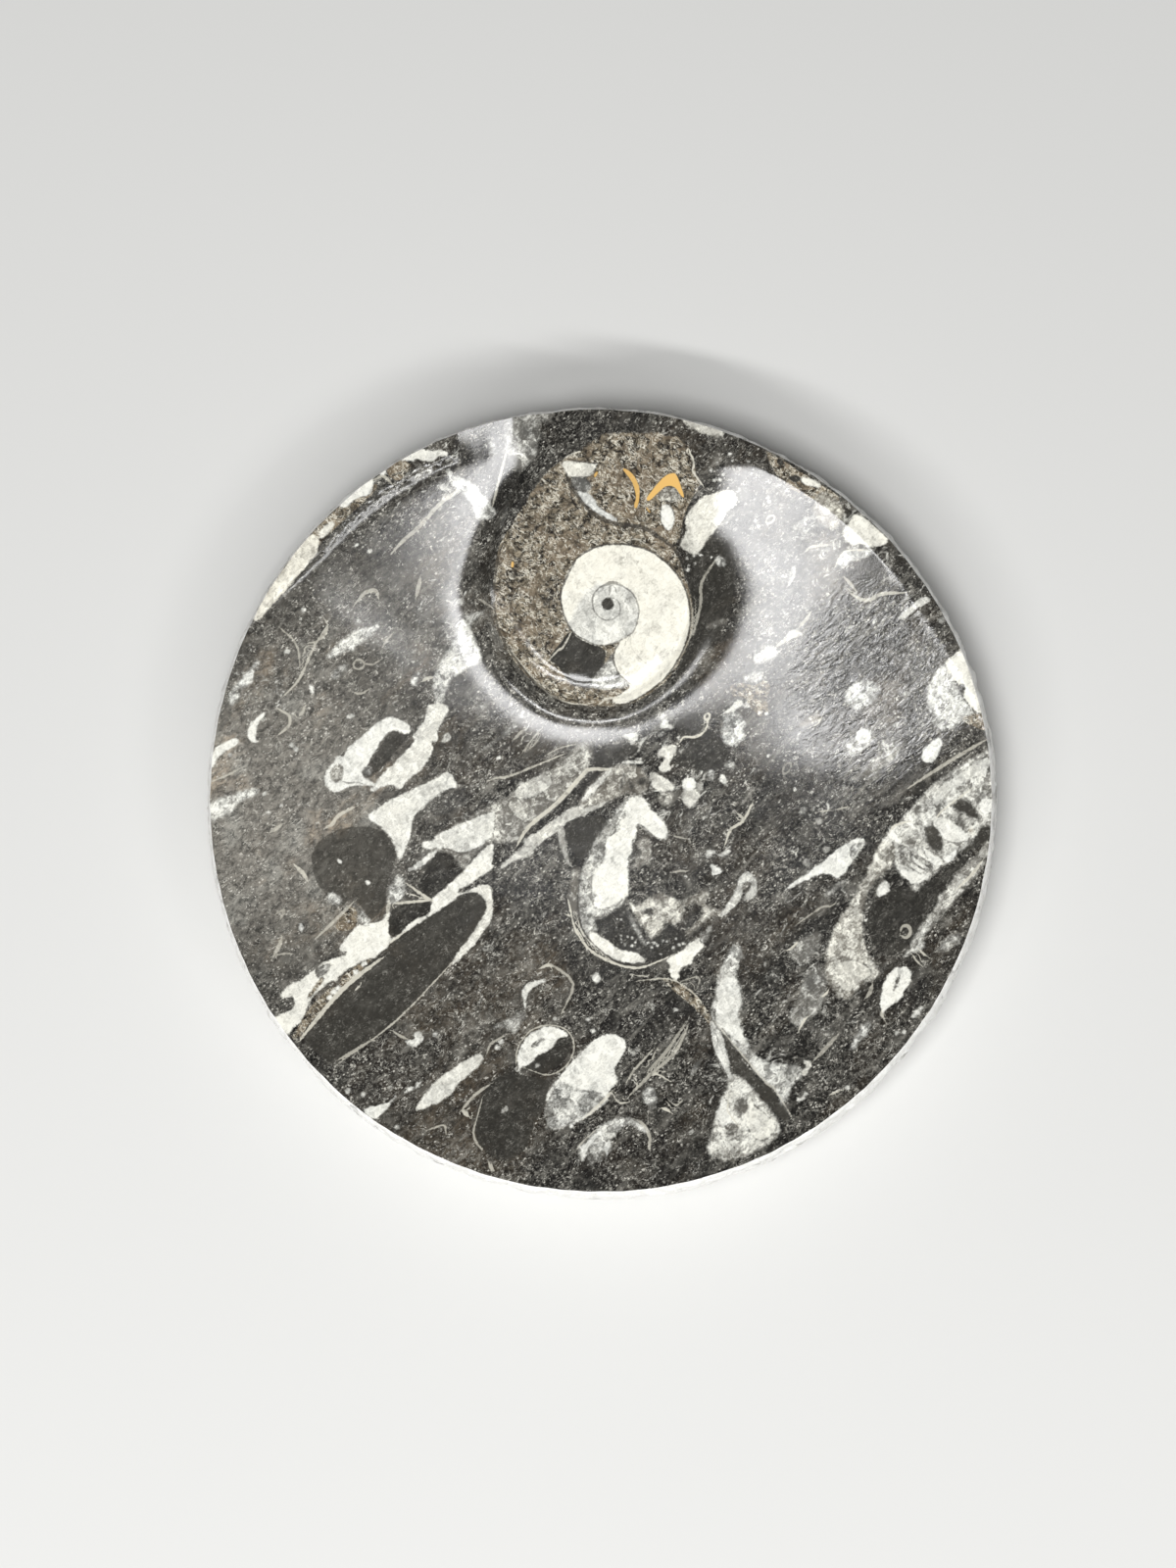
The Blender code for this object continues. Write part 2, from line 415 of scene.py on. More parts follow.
@dataclass(frozen=True)
class Patch:
    """An area of one kind of stone, by points read round its edge in the photograph.

    Attributes:
        kind: What the area is made of.
        edge: Photograph pixels round the edge, x and y in turn.
        tone: How light it is, from 0 to 1.
        warmth: From bluish white at 0 to cream or brown at 1.
    """

    kind: Kind
    edge: Outline
    tone: float = 0.8
    warmth: float = 0.35


@dataclass(frozen=True)
class Thread:
    """A thin line, such as a shell's wall or a crack, by points read along it.

    Attributes:
        kind: LINE for a pale one or SEAM for a dark one.
        path: Photograph pixels along the line, x and y in turn.
        width: Its width in photograph pixels at its middle. It thins to its ends.
        tone: How strong it is, from 0 to 1.
        ends: Its width at its two ends, as a share of its width.
    """

    kind: Kind
    path: Outline
    width: float = 1.6
    tone: float = 0.8
    ends: float = 0.35


def oval(x: float, y: float, long: float, short: float, degrees: float) -> Outline:
    """An ellipse in the photograph.

    Args:
        x: Pixel of its middle, from the left.
        y: Pixel of its middle, from the top.
        long: Its half length in pixels.
        short: Its half width in pixels.
        degrees: How far it is turned anticlockwise.

    Returns:
        Pixels round its edge, x and y in turn.
    """
    right, up = math.cos(math.radians(degrees)), math.sin(math.radians(degrees))
    numbers: list[float] = []
    for step in range(OVAL_POINTS):
        turn = math.radians(step * FULL_TURN / OVAL_POINTS)
        along, across = long * math.cos(turn), short * math.sin(turn)
        numbers += [x + along * right - across * up, y - along * up - across * right]
    return tuple(numbers)


def ring(x: float, y: float, long: float, short: float, degrees: float) -> Outline:
    """An ellipse that ends where it begins, for a thread."""
    numbers = oval(x, y, long, short, degrees)
    return (*numbers, *numbers[:2])


def dots(tone: float, size: float, *places: tuple[float, float]) -> tuple[Patch, ...]:
    """Small pale specks of calcite, a little longer than wide.

    Args:
        tone: How light they are, from 0 to 1.
        size: Their half width in pixels.
        *places: The pixel in the middle of each.

    Returns:
        A patch for each speck.
    """
    longer, turn, warmth = 1.2, 30.0, 0.3
    return tuple(Patch(CALCITE, oval(x, y, longer * size, size, turn), tone, warmth) for x, y in places)


BOSS_MARKS = (
    Patch(SHELLY, (578, 467, 606, 456, 624, 454, 640, 449, 652, 440, 667, 432, 679, 438, 695, 442, 703, 449,
        705, 463, 711, 486, 713, 498, 704, 512, 697, 530, 694, 548, 690, 562, 706, 612, 707, 640, 699, 664,
        684, 690, 660, 710, 636, 720, 600, 720, 575, 716, 550, 701, 530, 681, 515, 660, 505, 635, 503, 612,
        506, 575, 512, 552, 526, 530, 552, 489), 0.5, 0.6),
    Patch(DARK, (573, 655, 583, 645, 602, 657, 612, 660, 618, 668, 611, 692, 606, 701, 594, 701, 582, 697,
        569, 679, 561, 672), 0.4, 0.2),
    Patch(GREY, (641, 699, 616, 703, 604, 700, 607, 690, 621, 674, 625, 668, 631, 686), 0.7, 0.3),
    Patch(CALCITE, (572, 612, 575, 596, 584, 576, 600, 561.5, 620, 556, 650, 558, 670, 567, 687, 582, 698, 599,
        704, 628, 702, 648, 685, 685, 653, 711, 637, 718, 629, 718, 625, 713, 640, 704, 642, 698, 630, 685,
        626, 668, 633, 653, 618, 658.5, 601, 656, 586, 646, 577, 632), 1.0, 0.75),
    Patch(CALCITE, (580, 638, 584, 628, 596, 608, 604, 600, 614, 596, 628, 596, 640, 600, 646, 606, 652, 623,
        648, 641, 642, 648, 626, 656, 610, 658, 601, 655.5, 586, 645.5), 0.82, 0.3),
    Patch(DARK, oval(620.5, 616.5, 6.4, 6.2, 0), 0.35, 0.7),
    Thread(SEAM, (627, 611, 631, 614, 633, 621, 631, 628, 619, 633, 607, 625, 604.5, 611, 611, 600, 624, 596,
        633, 597, 646, 606, 652, 623, 648, 641, 642, 648, 626, 656.5, 610, 658.5, 593, 651), 1.7, 0.62, 0.8),
    Thread(SEAM, (617, 597, 622, 594.5, 628, 594.5, 634, 597), 3.2, 0.7),
    Thread(SEAM, (622, 597, 622.5, 602, 622, 606), 2.6, 0.55),
    Thread(SEAM, (634, 652.5, 626, 668, 630, 685, 643, 698), 1.7, 0.7),
    Thread(SEAM, (644, 650, 643, 656, 645, 662, 654, 673, 660, 677), 1.3, 0.22),
    Thread(SEAM, (593, 651, 586, 646, 577, 632, 572, 612, 573, 602, 585, 575.5, 592, 567, 611, 557, 630, 555,
        650, 557.5, 670, 566, 687, 581, 698, 598, 703.5, 617, 704, 638, 699, 659, 678, 693, 645, 716, 630, 719),
        1.9, 0.8, 0.8),
    Thread(LINE, (578, 466.5, 584, 463, 606, 456.5, 640, 449.5, 652, 440, 663, 435, 667, 432, 679, 438.5,
        695, 442.5, 703, 449, 704, 462, 707, 468, 708, 475, 707, 481, 716, 494), 1.9, 0.9, 0.8),
    Patch(CALCITE, (575, 471, 602, 473, 610, 473, 601, 486, 584, 487, 579, 484), 0.85, 0.6),
    Patch(CALCITE, (589, 500, 596, 500, 606, 510, 611, 517, 629, 530, 622, 530, 605, 521, 592, 508), 0.8, 0.1),
    Patch(GREY, (583, 490, 590, 486, 599, 489, 603, 497, 598, 502, 590, 501, 585, 497), 0.35, 0.2),
    Patch(CALCITE, (676, 516, 684, 516, 688.5, 528, 685, 539.5, 680, 540.5, 674, 530), 0.97, 0.35),
    Patch(GREY, (672, 506, 677, 500, 684, 498, 691, 500, 694, 506, 689, 511, 681, 512), 0.6, 0.6),
    Patch(OCHRE, (660, 510, 662, 505, 676, 488, 686, 483, 691, 486, 698, 506, 695, 506, 688, 497, 678, 497,
        664, 510), 1.0, 0.5),
    Patch(OCHRE, (635, 478, 644, 482, 652, 496, 652, 511, 649, 519, 647, 515, 649, 507, 645, 492), 0.85, 0.5),
    Patch(OCHRE, oval(608, 484, 4.2, 1.3, 60), 0.8, 0.5),
    Patch(OCHRE, oval(523, 576, 3.4, 1.4, 85), 0.9, 0.5),
    Patch(OCHRE, oval(662, 521, 4.5, 1.0, -52), 0.6, 0.5),
    Thread(SEAM, (578, 484, 584, 498, 603, 523, 626, 534, 655, 538, 680, 553, 690, 563, 697, 576), 4.2, 0.8),
    Thread(SEAM, (577, 468, 600, 472, 612, 472.5), 1.6, 0.8),
    Thread(LINE, (644, 551, 652, 551, 676, 567), 1.3, 0.5),
    Thread(SEAM, (513, 556, 508, 572, 504, 610, 510, 646, 533, 681, 553, 702, 578, 718, 592, 720), 2.4, 0.75),
    Thread(LINE, (516, 657, 551, 700, 576, 716, 599, 719), 1.3, 0.85),
    Thread(LINE, (704, 612, 706.5, 625, 706.5, 640, 703, 653, 693, 673), 1.6, 0.5),
    Thread(LINE, (611, 719, 619, 713, 631, 712), 2.0, 0.9),
    Thread(LINE, (583, 645, 575, 660, 569, 664, 559, 675), 2.2, 0.75),
    Patch(CALCITE, (714, 510, 727, 504, 744, 500, 750, 503, 752, 510, 748, 517, 743, 521, 734, 536, 723, 549,
        714, 563, 708, 566, 694, 556, 701, 541, 700, 527), 0.88, 0.6),
    Patch(CALCITE, (697, 430, 707, 425, 742, 438, 730, 442, 722, 440), 0.75, 0.6),
)

MIDDLE_MARKS = (
    Patch(GREY, (430, 858, 440, 858, 446, 852, 474, 838, 486, 829, 526, 808, 531, 799, 560, 786, 592, 759,
        600, 757, 603, 774, 588, 800, 566, 824, 538, 845, 530, 857, 508, 861, 503, 857, 480, 876, 473, 885,
        461, 871, 436, 866), 0.55, 0.45),
    Patch(CALCITE, (432, 859, 442, 857, 450, 850, 499, 829, 504, 836, 500, 855, 474, 870, 452, 864, 434, 866),
        0.85, 0.35),
    Patch(CALCITE, (531, 800, 560, 790, 560, 804, 538, 815, 526, 813), 0.68, 0.4),
    Patch(CALCITE, (438, 720, 456, 720, 456, 729, 447, 744, 447, 756, 441, 757, 441, 766, 430, 785, 416, 795,
        411, 803, 404, 804, 393, 790, 421, 759, 422, 751, 434, 733), 0.85, 0.45),
    Patch(CALCITE, (457, 787, 466, 804, 455, 806, 424, 831, 418, 855, 408, 878, 401, 858, 381, 829, 410, 811,
        440, 797), 0.88, 0.4),
    Patch(DARK, (455, 869, 472, 886, 472, 890, 441, 917, 437, 916, 425, 904, 430, 898, 443, 872), 0.1, 0.3),
    Patch(DARK, (402, 926, 438, 920, 438, 932, 415, 944, 412, 950, 400, 955, 396, 947), 0.1, 0.3),
    Patch(CALCITE, (500, 861, 503, 874, 500, 881, 501, 887, 469, 908, 470, 912, 455, 924, 416, 949, 400, 961,
        398, 958, 408, 954, 421, 940, 436, 934, 441, 923, 440, 919, 445, 913, 467, 895), 0.9, 0.45),
    Patch(CALCITE, (510, 885, 535, 862, 533, 858, 559, 842, 580, 826, 594, 822, 600, 823, 620, 813, 620, 819,
        603, 828, 596, 834, 588, 834, 576, 842, 575, 850, 570, 848, 547, 864, 541, 874, 526, 878, 513, 886), 0.75,
        0.45),
    Patch(CALCITE, (567, 846, 573, 842, 577, 850, 580, 876, 584, 885, 576, 875), 0.6, 0.4),
    Thread(LINE, (528, 862, 540, 843, 570, 818, 595, 790, 603, 785, 622, 785), 4.4, 0.78),
    Patch(DARK, (589, 808, 606, 788, 618, 784, 606, 797, 598, 809), 0.15, 0.3),
    Patch(CALCITE, (594, 812, 600, 809, 618, 789, 620, 797, 596, 816), 0.75, 0.4),
    Patch(CALCITE, (418, 886, 446, 867, 433, 882, 421, 888), 0.8, 0.3),
    Patch(GREY, (490, 767, 510, 751, 533, 726, 539, 730, 521, 748), 0.5, 0.3),
    Thread(LINE, (417, 903, 431, 913, 441, 919), 2.8, 0.8, 0.6),
    Thread(LINE, (404, 922, 425, 920, 440, 918), 3.0, 0.8, 0.6),
    Thread(LINE, (498, 797, 510, 793, 520, 792, 574, 770), 2.4, 0.62),
    Thread(LINE, (556, 771, 572, 763, 590, 759), 1.3, 0.55),
    Patch(CALCITE, (450, 757, 455, 748, 459, 750, 458, 755), 0.7, 0.4),
)

SOUTH_MARKS = (
    Patch(DARK, (487, 911, 497, 925, 480, 955, 455, 988, 405, 1041, 348, 1083, 330, 1078, 309, 1058, 334, 1025,
        400, 962, 460, 921), 0.55, 0.45),
    Patch(CALCITE, (487, 911, 497, 925, 480, 955, 461, 981, 467, 981, 499, 943, 502, 915, 497, 902, 470, 912),
        0.82, 0.5),
    Thread(LINE, (466, 977, 405, 1041, 348, 1083), 1.5, 0.65),
    Patch(CALCITE, (533, 1010, 543, 1002, 557, 1000, 541, 1011, 536, 1022, 538, 1027, 535, 1026), 0.85, 0.3),
    Thread(SEAM, (546, 999, 539, 1001, 530, 1014, 534, 1033), 1.8, 0.8),
    Thread(LINE, (573, 1034, 585, 1004, 565, 986, 557, 985), 2.6, 0.5),
    Thread(LINE, (552, 988, 558, 985, 566, 986), 3.0, 0.75),
    Patch(CALCITE, (604, 999, 606, 993, 610, 993, 612, 998, 609, 1003), 0.85, 0.3),
    Patch(DARK, oval(556, 1070, 31, 22, 35), 0.35, 0.4),
    Patch(CALCITE, (528, 1078, 535, 1062, 550, 1050, 566, 1048, 579, 1056, 570, 1060, 561, 1071, 549, 1077,
        540, 1086, 530, 1089), 0.9, 0.35),
    Patch(GREY, (542, 1066, 553, 1059, 555, 1062, 544, 1069), 0.4, 0.3),
    Thread(LINE, (527, 1089, 528, 1070, 541, 1052, 560, 1046, 578, 1051, 586, 1067, 579, 1086, 560, 1097,
        536, 1090), 1.5, 0.6),
    Patch(CALCITE, (425, 1133, 443, 1105, 478, 1080, 490, 1076, 491, 1085, 467, 1106, 456, 1120), 0.86, 0.45),
    Patch(CALCITE, (412, 1062, 422, 1060, 423, 1054, 428, 1053, 432, 1061, 422, 1069), 0.8, 0.3),
)

HEART_MARKS = (
    Patch(DARK, (606, 780, 614, 762, 630, 760, 652, 762, 644, 771, 618, 784), 0.35, 0.3),
    Patch(DARK, (578, 846, 596, 834, 619, 837, 596, 875, 589, 874, 577, 856), 0.5, 0.5),
    Patch(GREY, (594, 812, 618, 787, 640, 781, 656, 787, 661, 801, 650, 812, 639, 809, 634, 812, 600, 824,
        593, 822), 0.55, 0.6),
    Patch(DARK, (641, 796, 645, 799, 649, 811, 646, 811), 0.2, 0.3),
    Patch(DARK, oval(655, 797, 4.5, 3.6, 30), 0.2, 0.3),
    Patch(DARK, (633, 795, 636, 789, 638, 793, 634, 804), 0.2, 0.3),
    Patch(CALCITE, (619, 786, 624, 786, 608, 806, 595, 817, 596, 811), 0.85, 0.4),
    Patch(CALCITE, (636, 777, 653, 776, 655, 779, 640, 779), 0.85, 0.3),
    Patch(GREY, (583, 893, 589, 884, 592, 892, 589, 925, 592, 941, 586, 936, 582, 921), 0.35, 0.5),
    Patch(GREY, (640, 815, 608, 858, 590, 902, 592, 940, 601, 958, 608, 948, 607, 938, 631, 926, 641, 908,
        641, 878, 645, 868, 644, 860, 648, 853, 650, 842, 676, 857, 680, 846, 675, 835, 666, 828, 655, 813), 0.68,
        0.3),
    Patch(CALCITE, (642, 815, 637, 824, 639, 832, 633, 838, 633, 846, 620, 856, 617, 874, 612, 884, 606, 889,
        604, 906, 608, 914, 606, 924, 616, 928, 636, 916, 641, 908, 641, 877, 645, 868, 644, 859, 649, 852,
        650, 842, 656, 843, 676, 857, 680, 843, 666, 828, 655, 813), 0.97, 0.4),
    Patch(CALCITE, (606, 951, 632, 969, 648, 972, 660, 980, 636, 982, 612, 970, 601, 959), 0.93, 0.5),
    Patch(DARK, (607, 938, 622, 934, 637, 925, 650, 950, 662, 960, 682, 946, 698, 952, 717, 935, 720, 942,
        712, 953, 680, 977, 661, 980, 649, 972, 625, 964, 607, 945), 0.2, 0.3),
    *dots(0.95, 1.0, (634, 955), (634, 959), (630, 938), (634, 938.5), (629, 946), (634, 961), (641, 956), (645,
        957), (638, 964), (648, 962), (645, 965), (653, 968), (665, 967), (671, 965), (668, 962), (661, 962), (681,
        961), (687, 967), (693, 964), (690, 958), (697, 963), (674, 974), (676, 960)),
    Patch(GREY, (641, 930, 658, 960, 656, 963, 648, 950), 0.42, 0.2),
    Patch(GREY, (642, 922, 649, 925, 673, 912, 697, 924, 693, 940, 687, 943, 680, 941, 669, 955, 661, 953), 0.72,
        0.6),
    Patch(DARK, (656, 932, 662, 926, 668, 931, 663, 935), 0.4, 0.5),
    Patch(GREY, (697, 921, 718, 908, 722, 913, 719, 919, 723, 926, 740, 931, 734, 935, 724, 936, 703, 954,
        700, 951, 716, 935, 717, 927, 710, 921, 702, 924), 0.62, 0.6),
    Patch(CALCITE, (717, 960, 711, 958, 696, 970, 680, 979, 684, 985, 683, 991, 690, 1000, 695, 988, 705, 983,
        707, 978, 717, 967), 0.97, 0.5),
    Patch(GREY, (714, 958, 724, 944, 725, 949, 718, 962), 0.55, 0.3),
    Patch(CALCITE, (754, 897, 763, 890, 772, 899, 770, 914, 760, 919, 759, 915, 766, 906, 765, 900, 757, 901,
        757, 916, 740, 934, 736, 932, 751, 909), 0.72, 0.3),
    Patch(CALCITE, (671, 771, 675, 763, 688, 760, 690, 766, 683, 779, 684, 785, 678, 787, 672, 783, 679, 773),
        0.85, 0.5),
    Patch(CALCITE, (663, 790, 669, 789, 688, 801, 684, 807, 668, 805), 0.82, 0.5),
    Patch(GREY, (672, 812, 678, 808, 686, 809, 689, 815, 682, 821, 674, 819), 0.68, 0.5),
    Patch(DARK, oval(677, 813, 2.2, 1.6, 20), 0.3, 0.4),
    Patch(CALCITE, (704, 804, 714, 812, 704, 824, 695, 813), 0.75, 0.5),
    Patch(CALCITE, oval(703.5, 800, 7.0, 6.4, 0), 0.97, 0.3),
    Patch(GREY, (709, 803, 713, 797, 717, 799, 712, 812), 0.6, 0.4),
    Patch(GREY, (722, 791, 726, 786, 729, 793, 725, 797), 0.62, 0.2),
    Patch(CALCITE, (734, 795, 738, 790, 742, 801, 737, 799), 0.75, 0.3),
    Patch(GREY, oval(744.5, 780, 4.5, 3.6, 20), 0.55, 0.2),
    Patch(GREY, (652, 859, 660, 856, 664, 862, 662, 878, 647, 884, 655, 868, 650, 864), 0.55, 0.5),
    Patch(DARK, oval(648, 866, 5.5, 2.6, 75), 0.3, 0.4),
    Patch(CALCITE, (720, 872, 723, 867, 731, 869, 722, 875), 0.75, 0.3),
    Patch(CALCITE, (732, 872, 745, 867, 743, 871, 737, 874), 0.75, 0.3),
    Patch(CALCITE, (726, 882, 738, 889, 728, 893, 727, 887), 0.88, 0.2),
    Thread(LINE, (687, 890, 694, 889, 701, 889), 2.2, 0.5),
    Thread(LINE, (740, 861, 746, 846, 758, 838, 768, 819), 3.2, 0.8),
    Thread(LINE, (753, 830, 757, 834, 760, 836), 3.0, 0.6),
    Thread(LINE, (687, 853, 695, 855, 701, 856), 1.8, 0.45),
    Thread(SEAM, (591, 899, 590, 928, 599, 956, 630, 982, 657, 984, 669, 981), 1.7, 0.85),
    Thread(LINE, (580, 919, 588, 950, 608, 974, 648, 988, 681, 977), 2.6, 0.85),
    Thread(LINE, (577, 933, 580, 934, 583, 936), 1.8, 0.85),
    Thread(LINE, (588, 932, 596, 955, 624, 980), 1.1, 0.7),
    Patch(CALCITE, (645, 760, 641, 755, 635, 751, 647, 748, 652, 751), 0.8, 0.3),
    Patch(CALCITE, (673, 742, 680, 733, 683, 738, 686, 743), 0.88, 0.2),
    Patch(GREY, (672, 727, 679, 724, 687, 727, 687, 734, 672, 734), 0.5, 0.4),
    Patch(DARK, (690, 776, 703, 760, 704, 753, 714, 751, 722, 745, 730, 748, 744, 768, 742, 779, 722, 787,
        697, 782), 0.28, 0.3),
    Patch(DARK, (690, 741, 694, 730, 704, 726, 714, 730, 718, 738, 714, 747, 695, 751), 0.35, 0.3),
    Thread(LINE, (694, 757, 698, 752, 709, 752, 719, 746, 724, 732), 2.4, 0.95),
    Thread(LINE, ring(721.5, 731.5, 3.4, 2.6, 60), 2.2, 0.85, 1.0),
    Patch(GREY, (740, 729, 752, 728, 759, 738, 758, 745, 759, 752, 750, 760, 738, 755), 0.78, 0.2),
    Patch(CALCITE, (738, 728, 753, 715, 758, 719, 746, 727), 0.8, 0.4),
    Patch(CALCITE, (758, 721, 768, 712, 773, 714, 763, 722), 0.75, 0.4),
    Patch(SHELLY, (745, 700, 757, 697, 770, 699, 780, 694, 786, 700, 782, 712, 784, 725, 775, 730, 757, 712,
        748, 710), 0.5, 0.5),
    Patch(GREY, (759, 690, 775, 686, 777, 692, 771, 697, 763, 696), 0.7, 0.4),
    Patch(GREY, (813, 741, 834, 727, 837, 732, 833, 738), 0.38, 0.8),
    Thread(LINE, (827, 742, 835, 738, 841, 726), 1.5, 0.6),
    *dots(0.9, 1.1, (811, 806), (775, 727), (782, 728), (784, 771), (828, 809), (700, 894)),
)

SOUTH_OVALS = (
    Patch(DARK, (497, 1108, 518, 1096, 557, 1102, 560, 1110, 552, 1137, 545, 1147, 533, 1176, 504, 1178, 487, 1164,
        487, 1135), 0.4, 0.4),
    Thread(SEAM, (495, 1113, 490, 1122, 484, 1147), 2.0, 0.9),
    Thread(LINE, (492, 1122, 483, 1156, 491, 1172, 498, 1177), 2.4, 0.6),
    Patch(CALCITE, (606, 1061, 631, 1057, 639, 1069, 627, 1090, 630, 1103, 621, 1114, 620, 1122, 613, 1129,
        589, 1145, 563, 1152, 557, 1127, 565, 1106), 0.95, 0.35),
    Patch(GREY, (571, 1104, 590, 1112, 610, 1114, 618, 1120, 612, 1128, 580, 1148, 563, 1151, 558, 1144,
        558, 1126), 0.72, 0.25),
    *dots(0.95, 1.6, (583, 1150), (583, 1147), (566, 1136), (580, 1136)),
    Thread(LINE, (596, 1141, 612, 1127, 624, 1114), 3.4, 0.75),
    Thread(LINE, (624, 1114, 631, 1125, 641, 1125), 1.6, 0.75),
    Thread(LINE, (648, 1100, 650, 1108, 640, 1121), 1.6, 0.75),
    Thread(LINE, (639, 1105, 648, 1091, 666, 1071), 2.2, 0.6),
    Thread(LINE, (646, 1115, 664, 1096, 688, 1075, 702, 1047), 3.4, 0.5),
    Thread(LINE, (662, 1092, 680, 1073, 698, 1046), 3.4, 0.45),
    Thread(LINE, (664, 1098, 670, 1096, 682, 1102), 2.0, 0.8),
    Patch(GREY, oval(663, 1119, 7.8, 6.6, 100), 0.75, 0.2),
    Patch(GREY, oval(665, 1130, 4.0, 3.0, 60), 0.55, 0.2),
    Thread(LINE, (676, 1131, 680, 1132, 684, 1135), 3.2, 0.85),
    Thread(LINE, (684, 1124, 690, 1128, 695, 1124), 1.6, 0.6),
    Patch(GREY, (571, 1207, 585, 1178, 615, 1148, 642, 1140, 660, 1153, 655, 1155, 641, 1147, 624, 1161, 624, 1170,
        618, 1186, 614, 1206), 0.72, 0.25),
    Patch(CALCITE, (588, 1176, 608, 1156, 614, 1156, 593, 1178), 0.9, 0.2),
    Patch(CALCITE, (618, 1166, 623, 1167, 616, 1197, 611, 1205, 609, 1198), 0.82, 0.2),
    Patch(CALCITE, (576, 1206, 580, 1200, 588, 1201, 598, 1198, 609, 1200, 612, 1207), 0.88, 0.4),
    Patch(SHELLY, oval(590, 1194, 6.5, 4.5, 40), 0.5, 0.6),
    Thread(LINE, (571, 1207, 574, 1196, 592, 1168, 608, 1153), 1.6, 0.6),
    Thread(LINE, (650, 1143, 656, 1147, 663, 1161, 661, 1180), 3.4, 0.55),
    Patch(CALCITE, (519, 1195, 537, 1192, 543, 1201, 527, 1201), 0.85, 0.3),
    Thread(LINE, (503, 1199, 511, 1198, 520, 1197), 3.4, 0.7),
    Thread(LINE, (545, 1189, 548, 1197, 548, 1204), 1.8, 0.45),
    *dots(0.8, 2.2, (605, 1052), (511, 1063), (507, 1069)),
    *dots(0.75, 1.6, (689, 1030), (600, 1040), (548, 1087), (566, 1040), (513, 1134), (516, 1131)),
    Patch(GREY, (505, 1048, 526, 1035, 536, 1034, 526, 1053, 513, 1048), 0.6, 0.3),
    Thread(LINE, (497, 1074, 501, 1065, 515, 1057), 2.4, 0.5),
    Thread(LINE, (471, 1133, 484, 1118, 499, 1107), 3.2, 0.6),
    Thread(LINE, (472, 1134, 475, 1136, 478, 1139), 4.0, 0.75),
    Patch(CALCITE, (371, 1132, 396, 1125, 404, 1118, 384, 1142), 0.95, 0.3),
    Patch(CALCITE, (413, 1114, 416, 1110, 421, 1110, 415, 1115), 0.95, 0.3),
    *dots(0.95, 2.0, (427, 1106), (426, 1108)),
    Thread(LINE, (402, 1053, 408, 1057, 415, 1060), 2.8, 0.55),
    *dots(0.7, 2.4, (444, 1056), (355, 1113), (405, 1150), (371, 1117)),
    Thread(LINE, (437, 1153, 453, 1148, 455, 1156), 2.2, 0.6),
    Thread(LINE, (346, 1081, 365, 1070, 380, 1061), 3.2, 0.55),
    Thread(LINE, (362, 1011, 366, 1007, 366, 1007), 2.0, 0.8),
)

